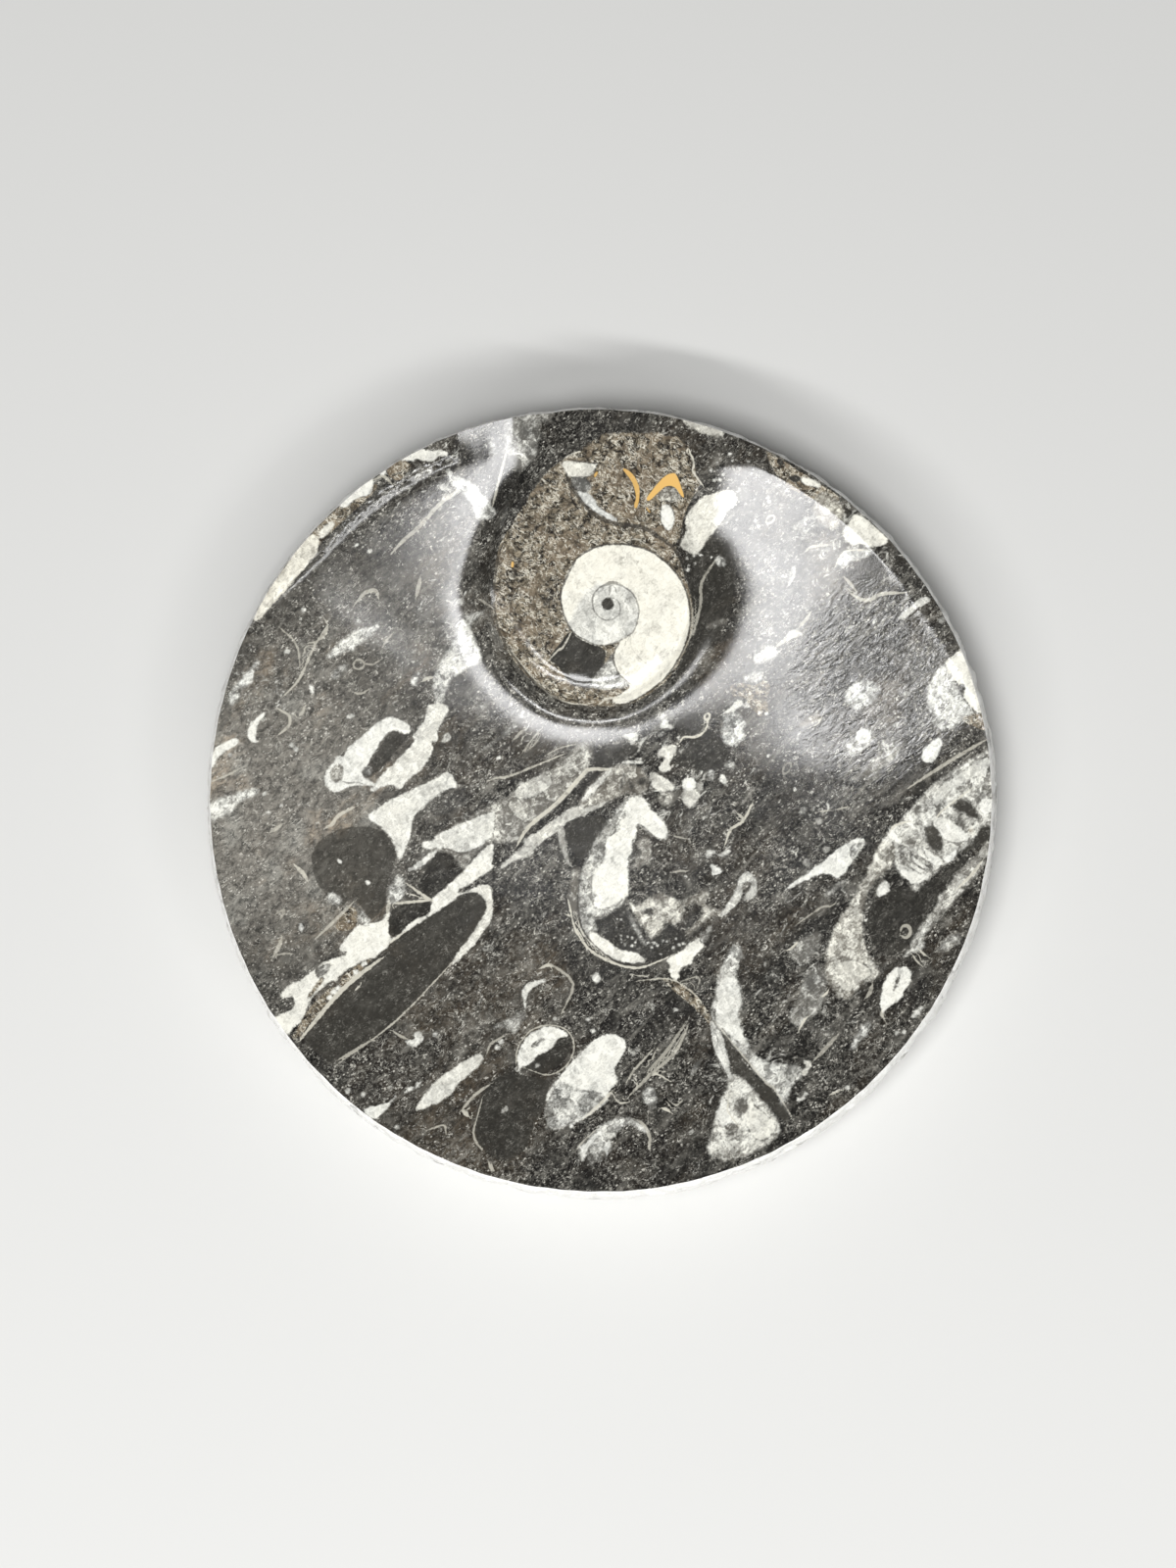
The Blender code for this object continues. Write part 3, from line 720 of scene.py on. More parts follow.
SOUTHEAST_MARKS = (
    Patch(SHELLY, (679, 998, 706, 1011, 727, 1039, 725, 1046, 706, 1026, 682, 1006), 0.6, 0.6),
    Thread(LINE, (650, 1001, 684, 999, 708, 1014, 716, 1024), 1.8, 0.6),
    Patch(GREY, (748, 965, 758, 971, 751, 993, 757, 1016, 754, 1043, 774, 1081, 811, 1087, 819, 1097, 808, 1108,
        799, 1127, 790, 1110, 778, 1101, 760, 1078, 732, 1047, 727, 1030, 737, 987), 0.72, 0.25),
    Patch(CALCITE, (742, 993, 749, 996, 756, 1016, 753, 1040, 760, 1062, 754, 1064, 731, 1042, 732, 1022,
        731, 1010), 0.86, 0.3),
    Patch(DARK, (741, 1062, 771, 1099, 787, 1111, 805, 1140, 797, 1142, 774, 1116, 750, 1094, 742, 1074), 0.7, 0.7),
    Patch(CALCITE, (726, 1043, 737, 1055, 746, 1100, 733, 1082, 726, 1058), 0.75, 0.25),
    Thread(SEAM, (727, 1040, 738, 1057, 768, 1091), 2.0, 0.6),
    Thread(LINE, (729, 1042, 781, 1104, 789, 1109, 807, 1138), 2.0, 0.55),
    Thread(SEAM, (723, 1048, 728, 1070, 742, 1098), 1.6, 0.7),
    Patch(GREY, (746, 1099, 740, 1116, 736, 1121, 722, 1172, 712, 1194, 728, 1191, 762, 1180, 787, 1164, 795, 1148,
        777, 1122, 757, 1101), 0.8, 0.4),
    Patch(CALCITE, (736, 1122, 742, 1124, 746, 1143, 752, 1151, 744, 1156, 732, 1142), 0.9, 0.3),
    Patch(CALCITE, (764, 1118, 770, 1128, 792, 1150, 776, 1164, 762, 1148), 0.9, 0.5),
    Patch(GREY, oval(756, 1130, 10, 6.5, 70), 0.5, 0.4),
    Patch(GREY, oval(746, 1152, 8, 6, 20), 0.55, 0.4),
    Thread(LINE, (743, 1124, 743, 1134, 754, 1150), 1.6, 0.8),
    Patch(GREY, (716, 1082, 711, 1084, 707, 1089, 706, 1096), 0.45, 0.2),
    Thread(LINE, (694, 1002, 709, 997, 714, 999, 712, 1007), 1.8, 0.45),
    Patch(GREY, (805, 973, 827, 954, 839, 955, 824, 982), 0.55, 0.35),
    Thread(LINE, (803, 970, 808, 967, 814, 961), 2.2, 0.8),
    Patch(GREY, (834, 987, 844, 1000, 842, 1008, 843, 1016, 835, 1030, 815, 1047, 806, 1037, 814, 1022, 823, 996),
        0.48, 0.3),
    Patch(GREY, (900, 860, 913, 866, 910, 884, 897, 893, 882, 922, 880, 952, 886, 973, 896, 990, 895, 996,
        879, 1005, 867, 1019, 858, 1017, 846, 1003, 842, 985, 851, 950, 878, 904), 0.66, 0.55),
    Patch(CALCITE, (852, 986, 874, 980, 890, 994, 872, 1004, 866, 1010, 858, 1008), 0.76, 0.55),
    Thread(LINE, (815, 1052, 820, 1042, 824, 1038), 2.6, 0.9),
    Thread(LINE, (839, 1017, 843, 1014, 845, 1011), 2.4, 0.9),
    Patch(CALCITE, (908, 992, 925, 987, 930, 1000, 922, 1011, 920, 1018, 904, 1029, 901, 1035, 898, 1018), 0.94,
        0.35),
    Patch(GREY, (911, 1010, 915, 997, 919, 996, 912, 1013), 0.5, 0.3),
    Thread(LINE, (900, 1030, 900, 1036, 903, 1041), 2.6, 0.6),
    Patch(GREY, (881, 1046, 887, 1049, 873, 1068, 869, 1067), 0.68, 0.2),
    Thread(LINE, (890, 1005, 888, 1012, 884, 1018), 4.0, 0.5),
    Thread(LINE, (855, 1056, 844, 1068, 832, 1081), 4.0, 0.45),
    Patch(CALCITE, (820, 1083, 825, 1082, 828, 1087, 821, 1098, 818, 1094, 822, 1088), 0.8, 0.5),
    Patch(GREY, (956, 968, 970, 954, 981, 957, 962, 971), 0.62, 0.3),
    Thread(LINE, (919, 950, 921, 945, 927, 945, 929, 951, 925, 957, 920, 955), 3.4, 0.55),
    Patch(GREY, (922, 976, 928, 969, 935, 953, 947, 939, 949, 944, 940, 959, 942, 966), 0.66, 0.3),
    Thread(LINE, (937, 968, 942, 973, 948, 977), 1.8, 0.75),
    Thread(LINE, (930, 973, 935, 980, 941, 986), 1.8, 0.65),
    *dots(0.9, 2.6, (936, 1033), (940, 1029)),
    *dots(0.8, 2.0, (915, 1054), (922, 1053), (933, 1037), (865, 1110), (822, 1116), (820, 1120), (816, 1122)),
    Thread(LINE, (847, 1117, 852, 1115, 857, 1113), 2.2, 0.75),
)

EAST_MARKS = (
    Patch(DARK, (890, 920, 916, 904, 936, 906, 956, 895, 982, 874, 988, 878, 972, 899, 952, 933, 943, 942,
        926, 966, 902, 975, 886, 950), 0.25, 0.3),
    Patch(GREY, (1012, 766, 1004, 768, 956, 798, 920, 837, 913, 841, 902, 855, 902, 862, 910, 864, 914, 872,
        913, 882, 931, 904, 938, 906, 974, 872, 994, 860, 1012, 845, 1020, 830, 1020, 790), 0.72, 0.35),
    Patch(DARK, (971, 822, 988, 815, 1000, 835, 993, 835), 0.7, 0.3),
    Patch(DARK, (944, 848, 950, 842, 956, 844, 963, 862, 960, 869, 953, 868, 947, 861), 0.75, 0.3),
    Patch(GREY, oval(931, 858, 8.6, 7.0, 10), 0.42, 0.4),
    Patch(GREY, (963, 838, 970, 830, 986, 838, 984, 844, 974, 840), 0.4, 0.3),
    Patch(CALCITE, (951, 835, 967, 836, 988, 852, 983, 858, 965, 857), 0.92, 0.35),
    Patch(CALCITE, (1000, 818, 1006, 814, 1014, 816, 1015, 826, 1006, 830, 1000, 826), 0.97, 0.3),
    Patch(CALCITE, (916, 885, 924, 884, 941, 893, 948, 891, 945, 898, 930, 902), 0.92, 0.35),
    Patch(CALCITE, (941, 864, 962, 878, 958, 884, 950, 880), 0.92, 0.3),
    Patch(CALCITE, (930, 872, 947, 886, 941, 886, 934, 880), 0.9, 0.3),
    Patch(CALCITE, (963, 876, 975, 868, 974, 875, 968, 880), 0.93, 0.2),
    Patch(CALCITE, (952, 812, 960, 802, 996, 778, 1008, 772, 1010, 782, 998, 792, 984, 798, 962, 814, 956, 822),
        0.82, 0.35),
    Patch(DARK, (1000, 843, 1012, 844, 1016, 852, 1006, 859, 980, 872, 993, 857), 0.6, 0.4),
    Patch(GREY, oval(990.5, 848, 6.4, 6.0, 0), 0.85, 0.4),
    Patch(SHELLY, oval(991, 848, 3.4, 3.0, 0), 0.3, 0.6),
    Thread(LINE, (956, 834, 963, 826, 991, 805), 2.0, 0.8),
    Thread(LINE, (908, 848, 914, 842, 928, 838), 2.4, 0.85),
    Thread(SEAM, (936, 872, 943, 877, 950, 881), 1.8, 0.6),
    Thread(SEAM, (931, 879, 939, 885, 947, 890), 1.8, 0.6),
    Patch(GREY, (1013, 862, 997, 892, 974, 917, 944, 952, 938, 948, 957, 923, 958, 915, 966, 907, 979, 888,
        996, 874, 1008, 858), 0.62, 0.4),
    Thread(LINE, (978, 906, 994, 890, 1001, 880), 3.4, 0.75),
    Patch(CALCITE, (895, 907, 904, 898, 908, 909, 897, 914), 0.82, 0.3),
    Patch(CALCITE, (803, 906, 840, 879, 862, 861, 879, 856, 879, 865, 859, 893, 853, 896, 840, 891, 812, 903),
        0.93, 0.25),
    Patch(GREY, (868, 864, 880, 859, 879, 865, 869, 876), 0.62, 0.2),
    Patch(GREY, (842, 914, 852, 903, 864, 898, 860, 904), 0.68, 0.3),
    Thread(LINE, (812, 944, 838, 926, 847, 925, 852, 922), 2.0, 0.45),
    Thread(LINE, (927, 804, 975, 773, 1006, 755), 3.6, 0.55),
    Patch(GREY, (866, 797, 879, 787, 890, 774, 914, 762, 911, 770, 897, 784, 899, 793, 893, 796, 886, 791), 0.52,
        0.4),
    Patch(GREY, (863, 715, 867, 702, 878, 694, 896, 701, 894, 712, 875, 723), 0.78, 0.2),
    Patch(GREY, (866, 772, 862, 765, 873, 752, 883, 742, 892, 749, 879, 767), 0.66, 0.3),
    Patch(CALCITE, oval(881, 751, 8.6, 7.4, 30), 0.86, 0.2),
    Patch(GREY, (899, 759, 911, 754, 919, 763, 905, 781, 901, 775, 903, 768), 0.6, 0.4),
    Thread(SEAM, (905, 762, 910, 763, 915, 761), 2.0, 0.4),
    Patch(CALCITE, (941, 772, 946, 760, 961, 753, 955, 775, 944, 778), 0.9, 0.25),
    Patch(GREY, (966, 676, 952, 691, 947, 707, 949, 727, 963, 745, 993, 727, 984, 715, 970, 688), 0.8, 0.25),
    Patch(CALCITE, (983, 662, 965, 678, 977, 697, 984, 698, 985, 704, 983, 710, 993, 723, 1008, 728, 1006, 700,
        996, 672), 0.96, 0.55),
    Thread(SEAM, (976, 699, 980, 703, 983, 707), 3.4, 0.7),
    Patch(SHELLY, (992, 728, 1008, 732, 1008, 746, 982, 735), 0.6, 0.6),
    *dots(0.6, 3.0, (914, 740), (925, 708), (961, 633), (968, 690)),
    Thread(LINE, ring(803, 784, 6.5, 3.2, 60), 1.6, 0.32, 1.0),
    *dots(0.55, 3.2, (819, 827), (823, 880), (843, 867), (835, 838)),
    Thread(LINE, (836, 828, 845, 827, 845, 827), 2.0, 0.55),
    Thread(LINE, (853, 826, 863, 824, 863, 824), 2.0, 0.5),
)

NORTHEAST_MARKS = (
    Patch(GREY, oval(757, 505, 8.5, 6.5, 0), 0.25, 0.3),
    Patch(DARK, (700, 566, 710, 564, 724, 550, 742, 540, 748, 546, 749, 565, 748, 605, 738, 640, 690, 692,
        707, 645, 704, 598, 697, 580), 0.42, 0.3),
    Thread(LINE, (730, 572, 716, 594, 715, 616, 707, 648), 3.2, 0.55),
    Patch(GREY, (729, 571, 735, 568, 740, 572, 737, 577, 731, 576), 0.62, 0.2),
    Patch(GREY, (722, 638, 738, 631, 741, 635, 725, 642), 0.4, 0.4),
    *dots(0.9, 1.3, (701, 570), (708, 567), (715, 566), (709, 575), (703, 577), (702, 581), (726, 568)),
    Patch(SHELLY, (782, 462, 792, 466, 846, 500, 856, 508, 850, 515, 816, 503, 795, 489), 0.7, 0.7),
    Patch(CALCITE, (820, 487, 836, 493, 834, 498, 818, 492), 0.88, 0.5),
    Patch(DARK, (805, 488, 811, 485, 817, 488, 812, 492), 0.3, 0.7),
    Patch(DARK, (794, 468, 799, 471, 797, 475, 793, 472), 0.3, 0.7),
    Patch(DARK, (857, 516, 870, 522, 866, 525, 859, 522), 0.3, 0.7),
    Patch(DARK, (876, 526, 882, 527, 886, 531, 880, 533), 0.3, 0.7),
    Patch(GREY, (835, 505, 846, 504, 860, 520, 858, 532, 848, 540, 830, 525), 0.6, 0.75),
    Patch(CALCITE, (866, 534, 871, 525, 879, 527, 906, 551, 889, 558, 880, 555, 871, 556, 862, 550, 860, 541),
        0.92, 0.6),
    Patch(GREY, (853, 578, 862, 563, 888, 562, 884, 568, 869, 573), 0.74, 0.2),
    Thread(LINE, (852, 579, 862, 563, 886, 561), 2.0, 0.85),
    Thread(LINE, (822, 563, 828, 558, 848, 556), 2.6, 0.6),
    Thread(LINE, (868, 606, 884, 613, 900, 606, 922, 605), 4.0, 0.6),
    Thread(LINE, (862, 590, 868, 596, 873, 603), 3.6, 0.55),
    Patch(DARK, (868, 581, 895, 568, 901, 589, 886, 607, 876, 605, 864, 590), 0.55, 0.3),
    Patch(CALCITE, (918, 628, 940, 610, 949, 612, 936, 621, 921, 632), 0.8, 0.3),
    Patch(CALCITE, (803, 648, 808, 643, 815, 643, 819, 648, 806, 652), 0.68, 0.6),
    Patch(GREY, (769, 671, 782, 658, 794, 667, 778, 678), 0.72, 0.35),
    Thread(LINE, (792, 660, 800, 654, 808, 650), 3.4, 0.5),
    Thread(LINE, (815, 640, 822, 633, 827, 625), 3.4, 0.5),
    Patch(DARK, (759, 680, 765, 677, 771, 680, 766, 684), 0.4, 0.5),
    *dots(0.8, 1.2, (740, 478), (739, 484), (735, 490), (748, 470), (729, 490), (764, 471), (767, 483), (784, 508),
        (785, 512), (771, 532), (774, 537), (732, 472), (755, 478), (745, 463), (726, 480)),
    Thread(LINE, ring(786, 530, 5.0, 3.0, 40), 1.8, 0.8, 1.0),
)

NORTHWEST_MARKS = (
    # Patchy pale stone beside the neck, its lightness partly painted sheen of the polish.
    Patch(GREY, (500, 436, 560, 417, 566, 417, 545, 455, 548, 462, 535, 478, 527, 478, 520, 470, 516, 462,
        508, 462, 500, 466), 0.58, 0.3),
    Thread(LINE, (518, 456, 510, 487, 503, 515), 2.6, 0.6),
    Patch(SHELLY, (304, 560, 348, 514, 360, 505, 383, 494, 380, 504, 347, 534, 321, 561, 311, 568), 0.6, 0.6),
    Patch(CALCITE, (262, 622, 299, 566, 315, 548, 321, 546, 325, 553, 323, 562, 318, 571, 266, 630), 0.85,
        0.85),
    Patch(CALCITE, (351, 509, 355, 501, 370, 489, 376, 486, 381, 488, 379, 502, 374, 506, 368, 507, 362, 510,
        357, 515, 350, 518, 346, 515), 0.93, 0.35),
    Patch(CALCITE, (384, 479, 389, 476, 395, 481, 391, 485, 386, 484), 0.93, 0.3),
    Patch(CALCITE, (326, 545, 331, 537, 339, 532, 340, 537, 329, 549), 0.86, 0.6),
    Patch(CALCITE, (402, 468, 419, 459, 427, 458, 436, 460, 446, 459, 456, 460, 456, 465, 448, 466, 443, 470,
        435, 470, 427, 468, 419, 470), 0.92, 0.4),
    Patch(SHELLY, (400, 470, 412, 470, 420, 474, 416, 482, 408, 490, 400, 488, 394, 480), 0.3, 0.5),
    Thread(LINE, (383, 489, 392, 486, 400, 494), 3.0, 0.6),
    Patch(GREY, (457, 479, 463, 484, 484, 496, 490, 502, 505, 521, 502, 527, 495, 530, 488, 529, 485, 521,
        475, 506, 464, 496, 460, 489), 0.82, 0.2),
    Thread(LINE, (470, 496, 464, 503, 449, 514, 427, 538, 412, 551, 400, 564), 3.8, 0.5),
    Patch(GREY, oval(455.5, 507, 3.6, 2.6, 20), 0.75, 0.5),
    Thread(LINE, (362, 617, 371, 606, 378, 603, 384, 603, 386, 610), 4.0, 0.5),
    Thread(LINE, (429, 590, 427, 599, 425, 609), 4.6, 0.5),
    Thread(LINE, (330, 630, 334, 637, 333, 646, 327, 652, 321, 655), 2.2, 0.55),
    *dots(0.85, 1.7, (310, 622), (364, 556), (377, 563), (307, 632), (366, 634), (452, 509)),
    Patch(GREY, (334, 668, 346, 656, 360, 646, 368, 642, 385, 638, 384, 643, 367, 658, 344, 669, 337, 671),
        0.82, 0.3),
    Thread(LINE, (488, 611, 495, 615, 502, 620), 2.4, 0.5),
    # A pale strip in the basin's left lobe, partly real stone and partly painted sheen of the polish.
    Patch(GREY, (494, 625, 486, 625, 478, 627, 472, 633, 458, 663, 447, 682, 443, 694, 443, 704, 447, 724,
        451, 722, 452, 713, 462, 691, 491, 673, 481, 645, 480, 637, 485, 631), 0.74, 0.25),
    Patch(GREY, (420, 694, 422, 689, 428, 686, 424, 698, 421, 698), 0.66, 0.2),
    Thread(LINE, (431, 695, 436, 692, 442, 691), 3.2, 0.6),
    Patch(GREY, (480, 723, 494, 718, 499, 719, 485, 726), 0.58, 0.3),
    Thread(LINE, (552, 744, 541, 757, 531, 771), 1.6, 0.55),
    Thread(LINE, (551, 752, 545, 760, 538, 766), 1.6, 0.5),
    Thread(LINE, (535, 744, 529, 750, 524, 755), 3.0, 0.5),
    *dots(0.95, 1.4, (509, 773.5)),
)

WEST_MARKS = (
    Patch(DARK, (380, 845, 392, 850, 400, 860, 404, 872, 402, 884, 394, 906, 394, 920, 388, 930, 378, 938,
        368, 924, 358, 918, 348, 924, 336, 916, 325, 904, 320, 890, 318, 875, 323, 862, 334, 852, 348, 846,
        364, 843), 0.62, 0.4),
    Thread(LINE, (335, 637, 321, 659, 308, 688, 303, 696, 290, 710), 2.4, 0.6),
    Thread(LINE, (328, 652, 322, 655, 315, 656), 2.0, 0.5),
    Thread(LINE, (287, 642, 298, 651, 302, 658, 305, 666, 306, 681), 2.4, 0.5),
    Thread(LINE, (390, 661, 394, 654, 400, 647), 2.0, 0.45),
    Patch(GREY, (263, 674, 257, 691, 257, 697, 244, 702, 241, 706, 245, 711, 240, 714, 236, 719, 235, 710,
        238, 703), 0.76, 0.2),
    Patch(CALCITE, oval(318, 703, 4.2, 2.4, 95), 0.97, 0.3),
    Patch(CALCITE, oval(358, 731, 4.2, 2.5, 15), 0.8, 0.3),
    Patch(CALCITE, (271, 728, 266, 729, 256, 739, 253, 746, 253, 752, 257, 757, 263, 757, 260, 752, 262, 744,
        264, 737), 0.97, 0.4),
    Thread(LINE, (281, 722, 294, 729, 296, 735, 294, 742, 284, 750), 3.0, 0.6),
    Thread(LINE, (311, 721, 309, 726, 306, 730), 3.4, 0.5),
    Patch(CALCITE, (213, 782, 220, 764, 227, 759, 240, 754, 244, 757, 240, 761, 228, 768, 222, 774, 218, 782),
        0.95, 0.4),
    *dots(0.75, 2.0, (235, 770), (302, 765), (297, 760), (293, 665), (270, 810), (287, 822), (274, 829)),
    Patch(GREY, (210, 822, 250, 806, 257, 804, 264, 806, 259, 812, 243, 819, 238, 826, 233, 830, 211, 838),
        0.8, 0.3),
    Thread(LINE, (212, 799, 232, 791, 245, 784), 2.2, 0.5),
    Patch(CALCITE, (331, 797, 332, 790, 336, 783, 346, 771, 350, 773, 354, 768, 356, 762, 386, 737, 393, 734,
        401, 732, 416, 739, 419, 744, 415, 749, 403, 745, 397, 747, 392, 752, 380, 770, 377, 777, 369, 787,
        370, 793, 383, 800, 378, 802, 371, 801, 357, 802, 344, 808, 338, 806, 333, 802), 0.93, 0.3),
    Patch(GREY, (336, 790, 341, 782, 348, 780, 351, 788, 348, 796, 340, 798), 0.6, 0.5),
    Patch(DARK, (408, 748, 402, 746, 397, 749, 392, 755, 378, 778, 372, 783, 370, 789, 374, 793, 381, 791,
        388, 785, 405, 765, 409, 757), 0.4, 0.3),
    Patch(GREY, oval(375, 786, 5.0, 3.6, 30), 0.4, 0.2),
    Thread(SEAM, (349, 797, 356, 799, 364, 798, 370, 800), 1.6, 0.6),
    Patch(CALCITE, (405, 776, 379, 804, 381, 807, 396, 801, 404, 803, 409, 797, 411, 786), 0.92, 0.35),
    Patch(CALCITE, (376, 831, 390, 822, 400, 818, 405, 828, 404, 846, 400, 852, 395, 845, 379, 838), 0.93,
        0.25),
    Thread(LINE, (363, 823, 349, 830, 343, 835, 339, 841, 332, 845), 3.8, 0.65),
    Thread(LINE, (360, 706, 368, 708, 377, 703), 2.6, 0.5),
    Thread(LINE, ring(366, 678, 5.5, 4.8, 0), 2.0, 0.45, 1.0),
    Thread(LINE, (371, 677, 380, 678, 389, 673), 2.2, 0.45),
    Patch(GREY, (338, 690, 343, 682, 350, 677, 356, 679, 352, 685, 345, 691, 340, 694), 0.42, 0.2),
    Thread(LINE, (276, 849, 281, 846, 288, 841), 4.0, 0.5),
    Patch(CALCITE, (398, 931, 394, 933, 391, 938, 385, 941, 370, 943, 363, 946, 347, 965, 349, 970, 354, 971,
        351, 975, 331, 982, 310, 998, 298, 1003, 292, 1008, 287, 1014, 287, 1018, 293, 1018, 299, 1016, 301,
        1022, 299, 1028, 295, 1032, 288, 1034, 282, 1038, 278, 1042, 291, 1057, 301, 1046, 306, 1043, 318,
        1020, 330, 1006, 337, 1001, 344, 1001, 347, 995, 368, 981, 376, 978, 384, 977, 390, 972, 398, 960,
        398, 950, 397, 940), 0.97, 0.5),
    Patch(GREY, (322, 990, 330, 984, 338, 984, 334, 992, 328, 997, 322, 996), 0.5, 0.3),
    Patch(SHELLY, (313, 1018, 324, 1001, 329, 997, 330, 1001, 325, 1008, 318, 1016), 0.3, 0.5),
    Patch(SHELLY, (347, 1003, 350, 996, 357, 990, 371, 981, 380, 979, 376, 985, 353, 1003, 345, 1007, 338,
        1008, 331, 1013, 318, 1026, 298, 1058, 306, 1058, 328, 1034, 331, 1027, 343, 1011), 0.5, 0.6),
    *dots(0.93, 2.4, (372, 984), (363, 992), (345, 1008), (341, 1012), (336, 1018)),
    Thread(LINE, (388, 979, 349, 1010, 307, 1060), 4.6, 0.85, 0.5),
    Thread(LINE, (398, 962, 406, 956, 414, 950), 2.4, 0.8),
    Patch(GREY, (397, 922, 396, 913, 403, 899, 408, 893, 412, 899, 414, 907, 411, 915, 406, 920), 0.72, 0.25),
    Thread(LINE, (397, 919, 396, 926, 395, 932), 4.0, 0.6),
    Patch(GREY, (360, 920, 371, 931, 378, 943, 371, 945, 366, 940, 366, 932), 0.5, 0.3),
    Thread(LINE, (361, 920, 342, 939, 322, 958), 3.2, 0.5),
    Patch(SHELLY, (356, 926, 363, 928, 365, 938, 362, 946, 352, 950, 343, 948, 345, 938), 0.2, 0.7),
    Thread(LINE, (301, 883, 310, 892, 313, 898), 4.4, 0.75),
    Patch(CALCITE, oval(307, 947, 4.4, 2.8, 100), 0.78, 0.2),
    *dots(0.95, 1.3, (375, 900), (376, 901), (355, 940), (307, 862), (347, 879)),
    Patch(GREY, (337, 912, 344, 913, 349, 919, 338, 924, 334, 920), 0.6, 0.2),
    Thread(LINE, (287, 957, 285, 965, 278, 977), 4.0, 0.5),
    Thread(LINE, (282, 975, 290, 973, 298, 973), 2.2, 0.45),
    Thread(LINE, (283, 932, 290, 929, 286, 938), 3.4, 0.45),
)

MARKS = (
    *NORTHWEST_MARKS, *NORTHEAST_MARKS, *WEST_MARKS, *EAST_MARKS, *MIDDLE_MARKS, *HEART_MARKS,
    *SOUTHEAST_MARKS, *SOUTH_MARKS, *SOUTH_OVALS, *BOSS_MARKS,
)


@dataclass
class FossilMap:
    """Every mark in the polished face, as distances that the stone's finish reads.

    Attributes:
        marks: The marks, from the lowest to the one drawn last.
        reach: How far from a mark the stone is told about it.
        spans: Straight spans between two points of an outline.
        tone_share: Share of the reach outside a patch that already takes its tone.
        line_reach: Millimetres from the middle of a line at which its width is still told.
    """

    marks: Sequence[Patch | Thread]
    reach: float = 3.0 * MM
    spans: int = 3
    tone_share: float = 0.5
    line_reach: float = 1.6

    def near(self, pixels: np.ndarray, shape: np.ndarray) -> np.ndarray:
        """Finds what lies close enough to a shape to be told about it.

        Args:
            pixels: The photograph's pixel of each place.
            shape: Pixels of the shape.

        Returns:
            Numbers of the places that are near.
        """
        margin = self.reach / CAMERA.pixel
        low, high = shape.min(0) - margin, shape.max(0) + margin
        return np.flatnonzero(((pixels > low) & (pixels < high)).all(1))

    def fields(self, pixels: np.ndarray) -> dict[Kind, np.ndarray]:
        """What each kind of stone is told at each place.

        Args:
            pixels: The photograph's pixel of each place.

        Returns:
            For each kind, a row for each place. A patch kind holds the distance inside its
            edge in millimetres, the tone and the warmth. A line kind holds the offset
            across the line and its half width in millimetres, and its tone.
        """
        size = CAMERA.pixel / MM
        far = self.reach / MM
        told = {kind: np.tile([-far, 0.5, 0.5], (len(pixels), 1)) for kind in Kind}
        for kind in (LINE, SEAM):
            told[kind] = np.tile([far, -far, 0.5], (len(pixels), 1))
        areas = [kind for kind in Kind if kind not in (LINE, SEAM)]
        for mark in self.marks:
            if isinstance(mark, Patch):
                loop = curve_through(np.reshape(mark.edge, (-1, 2)).astype(float), self.spans)
                at = self.near(pixels, loop)
                inside = np.clip(distance_inside(pixels[at], loop) * size, -far, far)
                for kind in areas:
                    if kind is not mark.kind:
                        told[kind][at, 0] = np.minimum(told[kind][at, 0], -inside)
                field_of = told[mark.kind]
                taken = at[inside > np.maximum(field_of[at, 0], -far * self.tone_share)]
                field_of[taken, 1:] = (mark.tone, mark.warmth)
                own = at[inside > 0.0]
                field_of[own, 1:] = (mark.tone, mark.warmth)
                field_of[at, 0] = np.maximum(field_of[at, 0], inside)
            else:
                self.draw_thread(mark, pixels, told[mark.kind], size)
        return told

    def draw_thread(self, mark: Thread, pixels: np.ndarray, told: np.ndarray, size: float) -> None:
        """Tells the places near a thread about it, where no other thread is nearer.

        Args:
            mark: The thread.
            pixels: The photograph's pixel of each place.
            told: What the thread's kind is told at each place. It is changed.
            size: Size of a pixel in millimetres.
        """
        line = curve_through(np.reshape(mark.path, (-1, 2)).astype(float), self.spans, closed=False)
        share = np.linspace(0.0, 1.0, len(line))
        widths = 0.5 * mark.width * (mark.ends + (1.0 - mark.ends) * np.sin(np.pi * share) ** 0.5)
        at = self.near(pixels, line)
        across, away, width = offset_from_line(pixels[at], line, widths)
        closer = away * size - width * size < np.abs(told[at, 0]) - told[at, 1]
        kept = at[closer]
        told[kept, 0] = across[closer] * size
        outside = away[closer] * size > self.line_reach
        told[kept, 1] = np.where(outside, -self.reach / MM, width[closer] * size)
        told[kept, 2] = mark.tone


